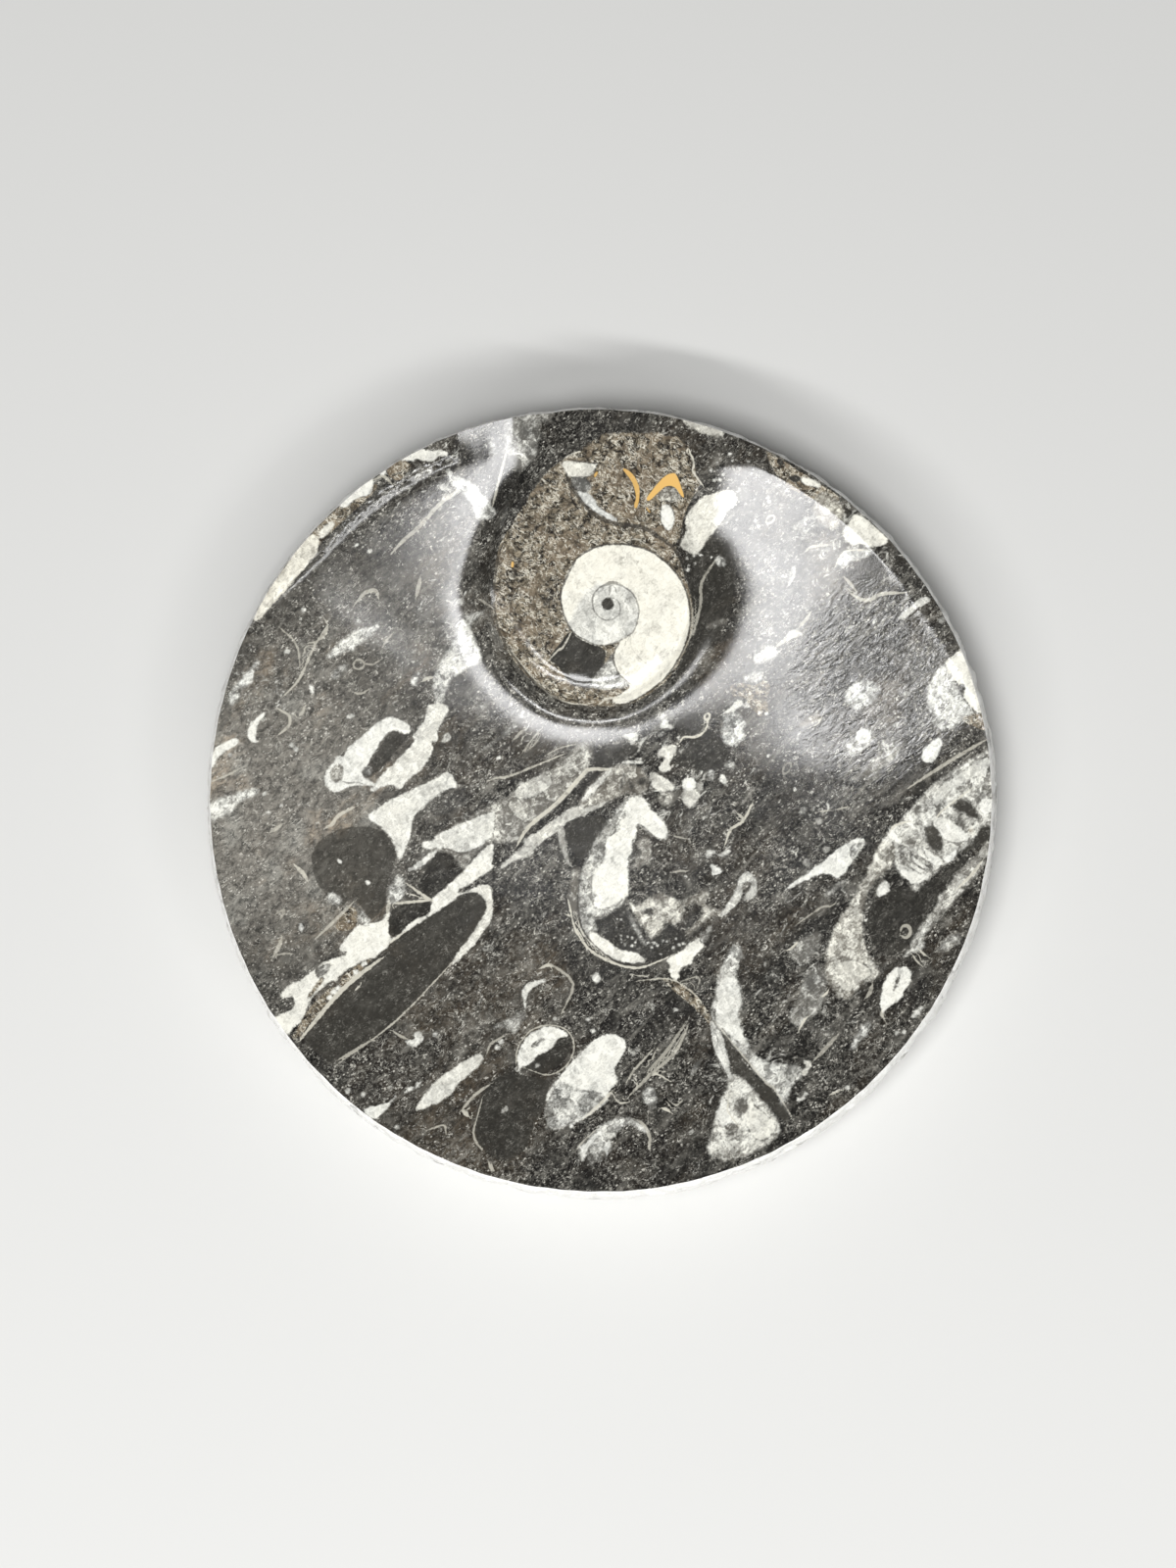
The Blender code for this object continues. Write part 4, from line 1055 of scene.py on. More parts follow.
@dataclass
class StoneMesh:
    """Builds the whole stone as one closed mesh: polished face, rough side and sawn base.

    Attributes:
        edge_points: Points round the polished edge, and round each ring of the side.
        fine: Gap between points where the stone or the form changes.
        coarse: How many times wider the gap is elsewhere.
        grid_reach: What the face's grid is laid out for, as a share of the radius.
        edge_reach: How far from an outline the points are fine.
        line_share: Share of that reach which goes for the lines.
        wall_reach: How far down the boss's wall the points are fine.
        crest_reach: How far inside the boss's crest they are fine.
        base_gap: Gap between points on the sawn base.
        clear: Nearest that a point may lie to a fixed line, as a share of the gap.
        edge_clear: Nearest that a point may lie to the polished edge, as a share of the gap.
        edge_chip: How far the edge's small unevenness moves it.
        edge_chip_size: How wide that unevenness is.
        edge_chip_seed: Which of its patterns is taken.
        crest_stop: How far inside the edge the crest's own points end.
        side_profile: From the face down to the foot, the share of the height and how far
            the side stands out there.
        side_rows: Rings of points down the side.
        side_crowd: How much the rings crowd to the face: 1 for even, more for closer.
        scar_size: Width of the side's flake scars.
        scar_depth: Their depth.
        scar_fade: Shares of the height over which they fade to the foot and to the face.
        fossils: What the polished face shows.
    """

    edge_points: int = 760
    fine: float = 0.5 * MM
    coarse: int = 3
    grid_reach: float = 1.02
    edge_reach: float = 1.05 * MM
    line_share: float = 0.7
    wall_reach: float = 5.4 * MM
    crest_reach: float = 1.0 * MM
    base_gap: float = 2.2 * MM
    clear: float = 0.6
    edge_clear: float = 0.75
    edge_chip: float = 0.16 * MM
    edge_chip_size: float = 4.0 * MM
    edge_chip_seed: float = 0.3
    crest_stop: float = 0.6 * MM
    side_profile: tuple = (
        (1.0, 0.0), (0.985, 0.25 * MM), (0.95, 0.6 * MM), (0.78, 1.4 * MM), (0.58, 1.7 * MM),
        (0.36, 1.5 * MM), (0.13, 0.4 * MM), (0.0, -1.2 * MM),
    )
    side_rows: int = 18
    side_crowd: float = 1.25
    scar_size: float = 12.0 * MM
    scar_depth: float = 1.8 * MM
    scar_fade: tuple[float, float] = (0.25, 0.45)
    fossils: FossilMap = field(default_factory=lambda: FossilMap(MARKS))

    def edge_loop(self) -> np.ndarray:
        """The plan of the polished face's edge, with the small unevenness of a hand-cut one.

        Returns:
            Its points, one in each row.
        """
        degrees = np.arange(self.edge_points) * FULL_TURN / self.edge_points
        plan = around(degrees, SHAPE.outline(degrees)) / self.edge_chip_size
        chips = [noise.noise(Vector((*point, self.edge_chip_seed))) for point in plan]
        return around(degrees, SHAPE.outline(degrees) + self.edge_chip * np.array(chips))

    def crest_lines(self) -> list[np.ndarray]:
        """The boss's crest where it lies inside the edge, as lines for the facets to follow.

        Returns:
            The points of each line.
        """
        crest = SHAPE.crest()
        degrees, radius = polar(crest)
        kept = radius < SHAPE.outline(degrees) - self.crest_stop
        starts = np.flatnonzero(np.diff(kept.astype(int), prepend=0) == 1)
        ends = np.flatnonzero(np.diff(kept.astype(int), append=0) == -1)
        lines = [crest[start : end + 1] for start, end in zip(starts, ends) if end > start + 2]
        return [self.spaced(line, self.fine) for line in lines]

    def spaced(self, line: np.ndarray, gap: float) -> np.ndarray:
        """Spaces points evenly along a line.

        Args:
            line: The line's points.
            gap: About how far apart the new points are.

        Returns:
            The new points, with the line's two ends.
        """
        travelled = np.concatenate([[0.0], np.cumsum(np.hypot(*np.diff(line, axis=0).T))])
        marks = np.linspace(0.0, travelled[-1], max(2, round(travelled[-1] / gap)))
        return np.stack([np.interp(marks, travelled, line[:, axis]) for axis in (0, 1)], axis=1)

    def grid(self, gap: float, reach: float) -> tuple[np.ndarray, np.ndarray]:
        """Lays out a staggered grid round the dish's middle.

        Args:
            gap: Distance between points.
            reach: How far the grid goes to each side.

        Returns:
            The points, and which of them are also on the coarse grid.
        """
        count = int(reach / gap) + 2
        rows, columns = np.meshgrid(np.arange(-count, count + 1), np.arange(-2 * count, 2 * count + 1))
        rows, columns = rows.ravel(), columns.ravel()
        points = np.column_stack([(columns + 0.5 * rows) * gap, rows * gap * math.sqrt(0.75)])
        sparse = (rows % self.coarse == 0) & (columns % self.coarse == 0)
        inside = np.abs(points).max(1) < reach
        return points[inside], sparse[inside]

    def heights(self, plan: np.ndarray) -> tuple[np.ndarray, np.ndarray]:
        """Height of the face at places of its plan, and their distance inside the crest."""
        inside = distance_inside(plan, SHAPE.crest())
        return SHAPE.height(plan, inside), inside

    def face_plan(self) -> tuple[np.ndarray, list[tuple[int, int]]]:
        """Points for the polished face, close together where the stone or the form changes.

        Returns:
            The points, the edge loop first, and the pairs of them that facets must join.
        """
        edge, lines = self.edge_loop(), self.crest_lines()
        plan, sparse = self.grid(self.fine, SHAPE.radius * self.grid_reach)
        degrees, radius = polar(plan)
        kept = radius < SHAPE.outline(degrees) - self.edge_clear * self.fine
        plan, sparse = plan[kept], sparse[kept]
        heights, inside = self.heights(plan)
        told = self.fossils.fields(CAMERA.pixels_of(np.column_stack([plan, heights])))
        near_edge = np.zeros(len(plan), bool)
        for kind, rows in told.items():
            reach = self.edge_reach
            if kind in (LINE, SEAM):
                reach = np.clip(rows[:, 1], 0.0, None) * MM + self.edge_reach * self.line_share
            near_edge |= np.abs(rows[:, 0]) * MM < reach
        on_wall = (inside < self.crest_reach) & (inside > -self.wall_reach)
        plan = plan[near_edge | on_wall | sparse]
        tree = kdtree.KDTree(sum(len(line) for line in lines))
        for index, (x, y) in enumerate(np.concatenate(lines)):
            tree.insert((x, y, 0.0), index)
        tree.balance()
        clear = [tree.find((x, y, 0.0))[2] > self.clear * self.fine for x, y in plan]
        links = []
        first = len(edge)
        for line in lines:
            links += [(first + n, first + n + 1) for n in range(len(line) - 1)]
            first += len(line)
        return np.concatenate([edge, *lines, plan[clear]]), links

    def triangulate(self, plan: np.ndarray, links: list[tuple[int, int]]) -> tuple[np.ndarray, np.ndarray]:
        """Lays facets between the points of a plan whose first points are its edge loop.

        Args:
            plan: The points, one in each row.
            links: Pairs of points that facets must join.

        Returns:
            The points again, in the same order, and three of their numbers for each facet.
        """
        corners = [Vector(point) for point in plan]
        loop = list(range(self.edge_points))
        inside_only = 1
        found = geometry.delaunay_2d_cdt(corners, links, [loop], inside_only, SAME_PLACE)
        flat = np.array([tuple(point) for point in found[0]])
        return flat, np.array(found[2])

    def scar(self, point: Vector) -> float:
        """Depth of a flake scar as a share: 1 in its middle, 0 on the ridge between two."""
        nearest, second = noise.voronoi(point / self.scar_size)[0][:2]
        return 1.0 - nearest / second

    def side_rings(self, top: np.ndarray) -> list[np.ndarray]:
        """The rings of the rough side, from under the polished edge down to the foot.

        Args:
            top: The points of the polished edge.

        Returns:
            The points of each ring, in the same order round the dish.
        """
        shares, stands_out = np.array(self.side_profile)[::-1].T
        outwards = top[:, :2] / polar(top[:, :2])[1][:, None]
        rings = []
        for share in 1.0 - np.linspace(0.0, 1.0, self.side_rows + 1)[1:] ** self.side_crowd:
            height = share * top[:, 2]
            here = np.column_stack([top[:, :2], height])
            struck = np.array([self.scar(Vector(point)) for point in here]) * self.scar_depth
            low, high = self.scar_fade
            fade = min(1.0, share / low) * min(1.0, (1.0 - share) / high)
            out = np.interp(share, shares, stands_out) - struck * fade
            rings.append(np.column_stack([top[:, :2] + outwards * out[:, None], height]))
        return rings

    def side_facets(self, first: int) -> list[np.ndarray]:
        """Joins the polished edge and the rings of the side, each to the next.

        Args:
            first: Number of the first ring's first point.

        Returns:
            Three numbers of points for each facet, in two blocks for each ring.
        """
        steps = np.arange(self.edge_points)
        following = (steps + 1) % self.edge_points
        facets = []
        above = steps
        for number in range(self.side_rows):
            below = first + number * self.edge_points + steps
            facets.append(np.column_stack([above, below, below[following]]))
            facets.append(np.column_stack([above, below[following], above[following]]))
            above = below
        return facets

    def base(self, rim: np.ndarray) -> tuple[np.ndarray, np.ndarray]:
        """Fills the sawn base.

        Args:
            rim: The plan of the side's last ring.

        Returns:
            The points of the base's plan, the rim's first, and three of their numbers for
            each facet.
        """
        plan = self.grid(self.base_gap, SHAPE.radius)[0]
        inner = plan[distance_inside(plan, rim) > self.clear * self.base_gap]
        return self.triangulate(np.concatenate([rim, inner]), [])

    def build(self) -> bpy.types.Object:
        """The stone as a mesh object that carries its marks as attributes.

        Returns:
            The object, in the scene.
        """
        flat, facets = self.triangulate(*self.face_plan())
        top = np.column_stack([flat, self.heights(flat)[0]])
        count = self.edge_points
        rings = self.side_rings(top[:count])
        foot = len(top) + (self.side_rows - 1) * count
        plan, base_facets = self.base(rings[-1][:, :2])
        inner = np.column_stack([plan[count:], np.zeros(len(plan) - count)])
        points = np.concatenate([top, *rings, inner])
        downwards = base_facets[:, ::-1] + foot
        faces = np.concatenate([facets, *self.side_facets(len(top)), downwards])
        region = np.zeros(len(faces), np.int32)
        region[len(facets) :] = 1
        region[len(faces) - len(base_facets) :] = 2
        mesh = bpy.data.meshes.new("stone")
        mesh.from_pydata(points.tolist(), [], faces.tolist())
        mesh.attributes.new("region", "INT", "FACE").data.foreach_set("value", region)
        self.tell(mesh, points)
        side = np.zeros(len(points), np.float32)
        side[len(top) + count : foot] = 1.0
        mesh.attributes.new("pitched", "FLOAT", "POINT").data.foreach_set("value", side)
        self.sharpen(mesh, foot)
        stone = bpy.data.objects.new("carved_stone", mesh)
        bpy.context.scene.collection.objects.link(stone)
        logging.info("stone: %d facets on the face, %d in all", len(facets), len(faces))
        return stone

    def sharpen(self, mesh: bpy.types.Mesh, foot: int) -> None:
        """Smooth facets, with a sharp turn at the polished edge and at the sawn foot.

        Args:
            mesh: The stone's mesh. The points of its polished edge are its first.
            foot: Number of the first point at the foot.
        """
        edge = self.edge_points
        mesh.shade_smooth()
        ends = np.empty(2 * len(mesh.edges), np.int32)
        mesh.edges.foreach_get("vertices", ends)
        ends = ends.reshape(-1, 2)
        sharp = (ends < edge).all(1) | ((ends >= foot) & (ends < foot + edge)).all(1)
        mesh.attributes.new("sharp_edge", "BOOLEAN", "EDGE").data.foreach_set("value", sharp)

    def tell(self, mesh: bpy.types.Mesh, points: np.ndarray) -> None:
        """Writes what each kind of stone is told at each point into the mesh.

        Args:
            mesh: The mesh that gets an attribute for each kind.
            points: Its points, one in each row.
        """
        told = self.fossils.fields(CAMERA.pixels_of(points))
        for kind, rows in told.items():
            attribute = mesh.attributes.new(kind.value, "FLOAT_VECTOR", "POINT")
            attribute.data.foreach_set("vector", rows.astype(np.float32).ravel())


def light_of(red: float, green: float, blue: float) -> tuple[float, float, float, float]:
    """The scene's colour for one read from the photograph, by the curve of its file's channels.

    Args:
        red: Red from 0 to 255.
        green: Green from 0 to 255.
        blue: Blue from 0 to 255.

    Returns:
        The channels as shares of light, and 1 for the colour's strength.
    """
    shares = (channel / 255.0 for channel in (red, green, blue))
    return (*(c / 12.92 if c < 0.04045 else ((c + 0.055) / 1.055) ** 2.4 for c in shares), 1.0)


@dataclass(frozen=True)
class Zone:
    """A wide soft zone of the face in which the stone differs.

    Attributes:
        x: Millimetres to the right of the dish's middle.
        y: Millimetres from there to the back.
        size: How far it reaches, in millimetres.
        lift: How much there is of what the zone stands for in its middle: the share by which
            dark stone is lighter, partly as painted sheen, the strength of the tool's ripples, or the
            crowd of flakes.
        brown: How much browner the stone is, from 0 to 1.
    """

    x: float
    y: float
    size: float
    lift: float
    brown: float = 0.0


@dataclass
class Graph:
    """Lays out a shader's or a geometry tree's nodes in short calls."""

    tree: bpy.types.NodeTree

    def node(self, kind: str, outputs: int | str = 0, **given: Any) -> Any:
        """Adds a node.

        Args:
            kind: The node's type.
            outputs: Number or name of the output that is returned.
            **given: Settings of the node, and values or links for its inputs. An input is
                named in lower case with underscores, or as in_ and its number.

        Returns:
            The output socket.
        """
        made = self.tree.nodes.new(kind)
        labels = {socket.name.lower().replace(" ", "_") for socket in made.inputs}
        fed = {name: value for name, value in given.items() if name in labels or name.startswith("in_")}
        for name, value in given.items():
            if name not in fed:
                setattr(made, name, value)
        sockets = {socket.name.lower().replace(" ", "_"): socket for socket in reversed(list(made.inputs))}
        for name, value in fed.items():
            self.feed(made.inputs[int(name[3:])] if name.startswith("in_") else sockets[name], value)
        return made.outputs[outputs]

    def feed(self, socket: bpy.types.NodeSocket, value: Any) -> None:
        """Links an output to an input, or sets the input's own value.

        Args:
            socket: The input.
            value: The output or the value.
        """
        if isinstance(value, bpy.types.NodeSocket):
            self.tree.links.new(value, socket)
        else:
            socket.default_value = value

    def math(
        self, operation: str, first: Any, second: Any = 0.0, third: Any = 0.0, clamp: bool = False
    ) -> Any:
        """One step of arithmetic.

        Args:
            operation: The step, as the maths node names it.
            first: Its first number.
            second: Its second number.
            third: Its third number.
            clamp: Whether the result is kept between 0 and 1.

        Returns:
            The result.
        """
        return self.node(
            "ShaderNodeMath", operation=operation, use_clamp=clamp, in_0=first, in_1=second, in_2=third,
        )

    def tint(self, share: Any, low: Any, high: Any, blend_type: str = "MIX") -> Any:
        """Mixes two colours.

        Args:
            share: How much of the second is taken, from 0 to 1.
            low: The first colour.
            high: The second colour.
            blend_type: How it is laid over the first, as the mix node names it.

        Returns:
            The mixed colour.
        """
        return self.node(
            "ShaderNodeMix", 2, data_type="RGBA", blend_type=blend_type, in_0=share, in_6=low, in_7=high,
        )

    def lay(self, share: Any, ground: Any, colour: tuple) -> Any:
        """Lays a colour that was read from the photograph over another one, by a share."""
        return self.tint(share, ground, light_of(*colour))

    def step(self, value: Any, low: Any, high: Any, start: Any = 0.0, end: Any = 1.0) -> Any:
        """Goes smoothly from one number to another.

        Args:
            value: What drives it.
            low: The value at which it leaves the first number.
            high: The value at which it reaches the second.
            start: The first number.
            end: The second number.

        Returns:
            The number between them.
        """
        return self.node(
            "ShaderNodeMapRange", interpolation_type="SMOOTHSTEP", value=value, from_min=low, from_max=high,
            to_min=start, to_max=end,
        )

    def cloud(
        self, place: Any, size: float, detail: float = 2.0, roughness: float = 0.5, distortion: float = 0.0
    ) -> Any:
        """Soft noise.

        Args:
            place: Coordinates in millimetres.
            size: About how wide its blobs are, in millimetres.
            detail: How many finer layers it has.
            roughness: How strong they are, from 0 to 1.
            distortion: How much they curl.

        Returns:
            A number about 0.5.
        """
        return self.node(
            "ShaderNodeTexNoise", vector=place, scale=1.0 / size, detail=detail, roughness=roughness,
            distortion=distortion,
        )

    def cells(self, place: Any, size: float, feature: str = "F1", outputs: int | str = 0) -> Any:
        """Cells of crystals, grains or pits.

        Args:
            place: Coordinates in millimetres.
            size: About how wide a cell is, in millimetres.
            feature: What is measured, as the cell node names it.
            outputs: The output that is returned: the distance, or Color for a random colour.

        Returns:
            That output.
        """
        return self.node(
            "ShaderNodeTexVoronoi", outputs, feature=feature, vector=place, scale=1.0 / size, randomness=1.0,
        )

    def spot(self, place: Any, zone: Zone) -> Any:
        """A soft round spot on the plan of the stone.

        Args:
            place: Coordinates in millimetres.
            zone: Where it lies and how far it reaches.

        Returns:
            1 in its middle, falling to 0 at its reach.
        """
        level = self.node("ShaderNodeVectorMath", operation="MULTIPLY", in_0=place, in_1=(1.0, 1.0, 0.0))
        away = self.node(
            "ShaderNodeVectorMath", "Value", operation="DISTANCE", in_0=level, in_1=(zone.x, zone.y, 0.0),
        )
        return self.step(away, SOLID_SHARE * zone.size, zone.size, 1.0, 0.0)

    def hairs(self, clouds: Any, width: float) -> Any:
        """Thin bending lines where a soft noise passes its middle.

        Args:
            clouds: The noise.
            width: How far from its middle the lines end.

        Returns:
            1 in a line's middle, falling to 0 beside it.
        """
        from_middle = self.math("ABSOLUTE", self.math("SUBTRACT", clouds, 0.5))
        return self.step(from_middle, SOLID_SHARE * width, width, 1.0, 0.0)

    def product(self, *values: Any) -> Any:
        """Several numbers multiplied.

        Args:
            *values: The numbers.

        Returns:
            Their product.
        """
        found = values[0]
        for value in values[1:]:
            found = self.math("MULTIPLY", found, value)
        return found

    def placed(
        self, place: Any, turn: float = 0.0, stretch: tuple = (1.0, 1.0, 1.0), shift: tuple = (0.0, 0.0, 0.0)
    ) -> Any:
        """Turns, stretches and shifts a pattern's coordinates.

        Args:
            place: The coordinates.
            turn: Degrees about the vertical.
            stretch: A scale for each axis: less than 1 makes a pattern longer along it.
            shift: How far it is moved along each axis, to reach another part of a pattern.

        Returns:
            The new coordinates.
        """
        turned = self.node(
            "ShaderNodeVectorRotate", rotation_type="Z_AXIS", vector=place, angle=math.radians(turn),
        )
        return self.node(
            "ShaderNodeMapping", vector_type="POINT", vector=turned, scale=stretch, location=shift,
        )


def group_tree(
    name: str, inputs: dict[str, tuple[str, Any]], outputs: dict[str, str]
) -> tuple[Graph, Any, Any]:
    """A shader node group with named inputs and outputs.

    Args:
        name: The group's name.
        inputs: For each input, its socket type and starting value.
        outputs: For each output, its socket type.

    Returns:
        The graph to build in, the group's input node and its output node.
    """
    tree = bpy.data.node_groups.new(name, "ShaderNodeTree")
    for label, (kind, value) in inputs.items():
        socket = tree.interface.new_socket(label, in_out="INPUT", socket_type=kind)
        if value is not None:
            socket.default_value = value
    for label, kind in outputs.items():
        tree.interface.new_socket(label, in_out="OUTPUT", socket_type=kind)
    return Graph(tree), tree.nodes.new("NodeGroupInput"), tree.nodes.new("NodeGroupOutput")


VECTOR, FLOAT, COLOUR = "NodeSocketVector", "NodeSocketFloat", "NodeSocketColor"


@dataclass
class StonePatterns:
    """The shader groups that the polished face, the rough side and the sawn base share.

    Colours are as read from the photograph, each channel from 0 to 255.

    Attributes:
        flow: Direction in degrees in which the fossils lie.
        dark: The darkest mud.
        brown: Brown mud.
        grey: Cooler grey mud.
        dust: Fine pale shell hash.
        speck: Larger pale bits of shell.
        groups: The groups by name, once they are built.
    """

    flow: float = 40.0
    dark: tuple = (29, 28, 26)
    brown: tuple = (56, 50, 42)
    grey: tuple = (43, 43, 41)
    dust: tuple = (150, 147, 138)
    speck: tuple = (214, 211, 200)
    groups: dict = field(default_factory=dict)

    def build(self) -> None:
        """Builds every group once."""
        self.groups = {
            "limestone": self.limestone(),
            "calcite": self.calcite(),
            "shelly": self.shelly(),
            "edge": self.edge(),
            "millimetres": self.millimetres(),
        }

    def use(self, graph: Graph, name: str, **inputs: Any) -> Any:
        """Places a group in a graph.

        Args:
            graph: Where the group goes.
            name: Which group.
            **inputs: Values or links for its inputs, by name.

        Returns:
            The group's node, whose outputs are read by name.
        """
        made = graph.tree.nodes.new("ShaderNodeGroup")
        made.node_tree = self.groups[name]
        for label, value in inputs.items():
            graph.feed(made.inputs[label], value)
        return made

    def millimetres(self) -> bpy.types.NodeTree:
        """Puts out the stone's own coordinates in millimetres.

        Returns:
            The group's tree.
        """
        graph, _, out = group_tree("stone millimetres", {}, {"Place": VECTOR})
        place = graph.node("ShaderNodeTexCoord", "Object")
        scaled = graph.node("ShaderNodeVectorMath", operation="SCALE", vector=place, scale=1000.0)
        graph.feed(out.inputs["Place"], scaled)
        return graph.tree

    def limestone(self) -> bpy.types.NodeTree:
        """Dark bituminous mud: mottled grey and brown, full of shell hash and pale specks.

        Returns:
            The group's tree.
        """
        graph, given, out = group_tree(
            "dark limestone",
            {"Place": (VECTOR, None), "Hash": (FLOAT, 1.0), "Brownness": (FLOAT, 0.5), "Lift": (FLOAT, 0.0)},
            {"Color": COLOUR},
        )
        place = given.outputs["Place"]
        flow = graph.placed(place, -self.flow, (0.62, 1.0, 1.0))
        zones = graph.cloud(flow, 15.0, 4.0, 0.6, 0.6)
        zones = graph.math("MULTIPLY_ADD", given.outputs["Brownness"], 0.3, zones)
        colour = graph.lay(graph.step(zones, 0.52, 0.86), light_of(*self.dark), self.brown)
        cool = graph.step(graph.cloud(graph.placed(place, 70.0, shift=(31.0, 7.0, 0.0)), 9.0, 3.0), 0.5, 0.72)
        colour = graph.lay(graph.math("MULTIPLY", cool, 0.5), colour, self.grey)
        # Lighter mud, partly the stone's own and partly painted sheen from the zones.
        lightening_and_sheen_scale = graph.math("ADD", 1.0, given.outputs["Lift"])
        colour = graph.node("ShaderNodeVectorMath", operation="SCALE", vector=colour, scale=lightening_and_sheen_scale)
        mottle = graph.cloud(flow, 1.3, 6.0, 0.74, 0.6)
        low = graph.tint(1.0, colour, (0.34, 0.34, 0.34, 1.0), "MULTIPLY")
        high = graph.tint(1.0, colour, (1.65, 1.63, 1.58, 1.0), "MULTIPLY")
        colour = graph.tint(graph.step(mottle, 0.34, 0.68), low, high)
        graph.feed(out.inputs["Color"], self.shell_hash(graph, place, flow, given.outputs["Hash"], colour))
        return graph.tree

    def shell_hash(self, graph: Graph, place: Any, flow: Any, amount: Any, colour: Any) -> Any:
        """Lays the crushed shell over dark mud: mist, felt, bent slivers, wisps and specks.

        Args:
            graph: The group to build in.
            place: Coordinates in millimetres.
            flow: The same, turned and stretched along the flow.
            amount: How much of it there is, from 0 to 1.
            colour: The mud.

        Returns:
            The mud with the hash in it.
        """
        patchy = graph.cloud(graph.placed(place, 0.0, shift=(70.0, 2.0, 0.0)), 12.0, 2.0)
        patchy = graph.math("MULTIPLY_ADD", graph.step(patchy, 0.34, 0.62), 0.75, 0.25)
        mist = graph.cloud(graph.placed(flow, 0.0, shift=(40.0, 9.0, 0.0)), 4.2, 6.0, 0.66, 0.5)
        colour = graph.lay(graph.product(graph.step(mist, 0.47, 0.78), amount, 0.42), colour, self.dust)
        felt: Any = 0.0
        for turn, size, width in ((0.0, 0.75, 0.1), (50.0, 0.6, 0.09), (-35.0, 1.1, 0.07)):
            bends = graph.placed(flow, turn, (0.7, 1.0, 1.0), (turn, 5.0, 0.0))
            bends = graph.hairs(graph.cloud(bends, size, 2.0, 0.6, 1.4), width)
            where = graph.cloud(graph.placed(place, turn, shift=(turn, 31.0, 0.0)), 1.5 * size, 3.0, 0.7)
            felt = graph.math("MAXIMUM", felt, graph.math("MULTIPLY", bends, graph.step(where, 0.51, 0.69)))
        colour = graph.lay(graph.product(felt, patchy, amount, 0.85), colour, self.dust)
        bends = graph.cloud(graph.placed(flow, 0.0, (0.8, 1.0, 1.0), (5.0, 3.0, 0.0)), 3.2, 2.0, 0.5, 2.6)
        where = graph.cloud(graph.placed(place, 15.0, shift=(9.0, 40.0, 0.0)), 2.6, 3.0, 0.6)
        slivers = graph.product(graph.hairs(bends, 0.022), graph.step(where, 0.52, 0.64), patchy, amount, 0.9)
        colour = graph.lay(slivers, colour, self.speck)
        bends = graph.cloud(graph.placed(flow, 25.0, shift=(8.0, 1.0, 0.0)), 1.5, 2.0, 0.5, 1.6)
        where = graph.cloud(graph.placed(place, 40.0, shift=(3.0, 14.0, 0.0)), 1.7, 3.0, 0.6)
        slivers = graph.product(graph.hairs(bends, 0.03), graph.step(where, 0.5, 0.66), amount, 0.75)
        colour = graph.lay(slivers, colour, self.speck)
        wisps = graph.placed(place, -self.flow - 4.0, (0.16, 1.0, 1.0), (2.0, 6.0, 0.0))
        wisps = graph.step(graph.cloud(wisps, 2.2, 5.0, 0.62, 0.3), 0.56, 0.72)
        colour = graph.lay(graph.product(wisps, patchy, amount, 0.5), colour, self.dust)
        chosen = graph.node("ShaderNodeSeparateColor", "Red", color=graph.cells(flow, 0.7, outputs="Color"))
        specks = graph.step(graph.cells(flow, 0.7), 0.14, 0.4, 1.0, 0.0)
        specks = graph.math("MULTIPLY", specks, graph.step(chosen, 0.66, 0.95))
        return graph.lay(graph.product(specks, patchy, amount, 0.85), colour, self.speck)

    def calcite(self) -> bpy.types.NodeTree:
        """White to cream calcite: feathery crystals, cloudy and grey where it is translucent.

        Returns:
            The group's tree.
        """
        graph, given, out = group_tree(
            "calcite crystals",
            {
                "Place": (VECTOR, None), "Tone": (FLOAT, 0.8), "Warmth": (FLOAT, 0.4),
                "Crystal Contrast": (FLOAT, 0.2),
            },
            {"Color": COLOUR},
        )
        place, contrast = given.outputs["Place"], given.outputs["Crystal Contrast"]
        bent = graph.node("ShaderNodeTexNoise", "Color", vector=place, scale=0.6, detail=4.0, roughness=0.65)
        shift = graph.node("ShaderNodeVectorMath", operation="SUBTRACT", in_0=bent, in_1=(0.5, 0.5, 0.5))
        wavy = graph.node(
            "ShaderNodeVectorMath", operation="MULTIPLY_ADD", in_0=shift, in_1=(4.0, 4.0, 0.0), in_2=place,
        )
        grains = graph.node("ShaderNodeSeparateColor", "Green", color=graph.cells(wavy, 2.0, outputs="Color"))
        joints = graph.step(graph.cells(wavy, 2.0, "DISTANCE_TO_EDGE"), 0.0, 0.07, 1.0, 0.0)
        fine = graph.cloud(graph.placed(place, -self.flow, (0.55, 1.25, 1.0)), 0.62, 5.0, 0.7)
        feather = graph.cloud(graph.placed(wavy, 65.0, (0.7, 1.2, 1.0), (11.0, 2.0, 0.0)), 1.9, 5.0, 0.68, 0.8)
        cloudy = graph.cloud(graph.placed(wavy, 20.0, shift=(3.0, 8.0, 0.0)), 4.6, 3.0, 0.55)
        shade = given.outputs["Tone"]
        for pattern, weight in (
            (grains, graph.math("MULTIPLY", contrast, 0.55)),
            (cloudy, graph.math("MULTIPLY_ADD", contrast, 1.4, 0.5)),
            (feather, graph.math("MULTIPLY_ADD", contrast, 1.4, 1.0)),
            (fine, graph.math("ADD", contrast, 0.55)),
        ):
            shade = graph.math("MULTIPLY_ADD", graph.math("SUBTRACT", pattern, 0.5), weight, shade)
        cracks = graph.product(graph.hairs(feather, 0.03), graph.step(cloudy, 0.4, 0.6), 0.22)
        cracks = graph.math("MAXIMUM", cracks, graph.product(joints, contrast, 0.35))
        shade = graph.math("SUBTRACT", shade, cracks)
        warm = graph.math("SUBTRACT", cloudy, 0.5)
        warm = graph.math("MULTIPLY_ADD", warm, 0.5, given.outputs["Warmth"], clamp=True)
        pale = graph.tint(warm, light_of(241, 242, 236), light_of(245, 241, 224))
        deep = graph.tint(warm, light_of(84, 85, 83), light_of(104, 96, 83))
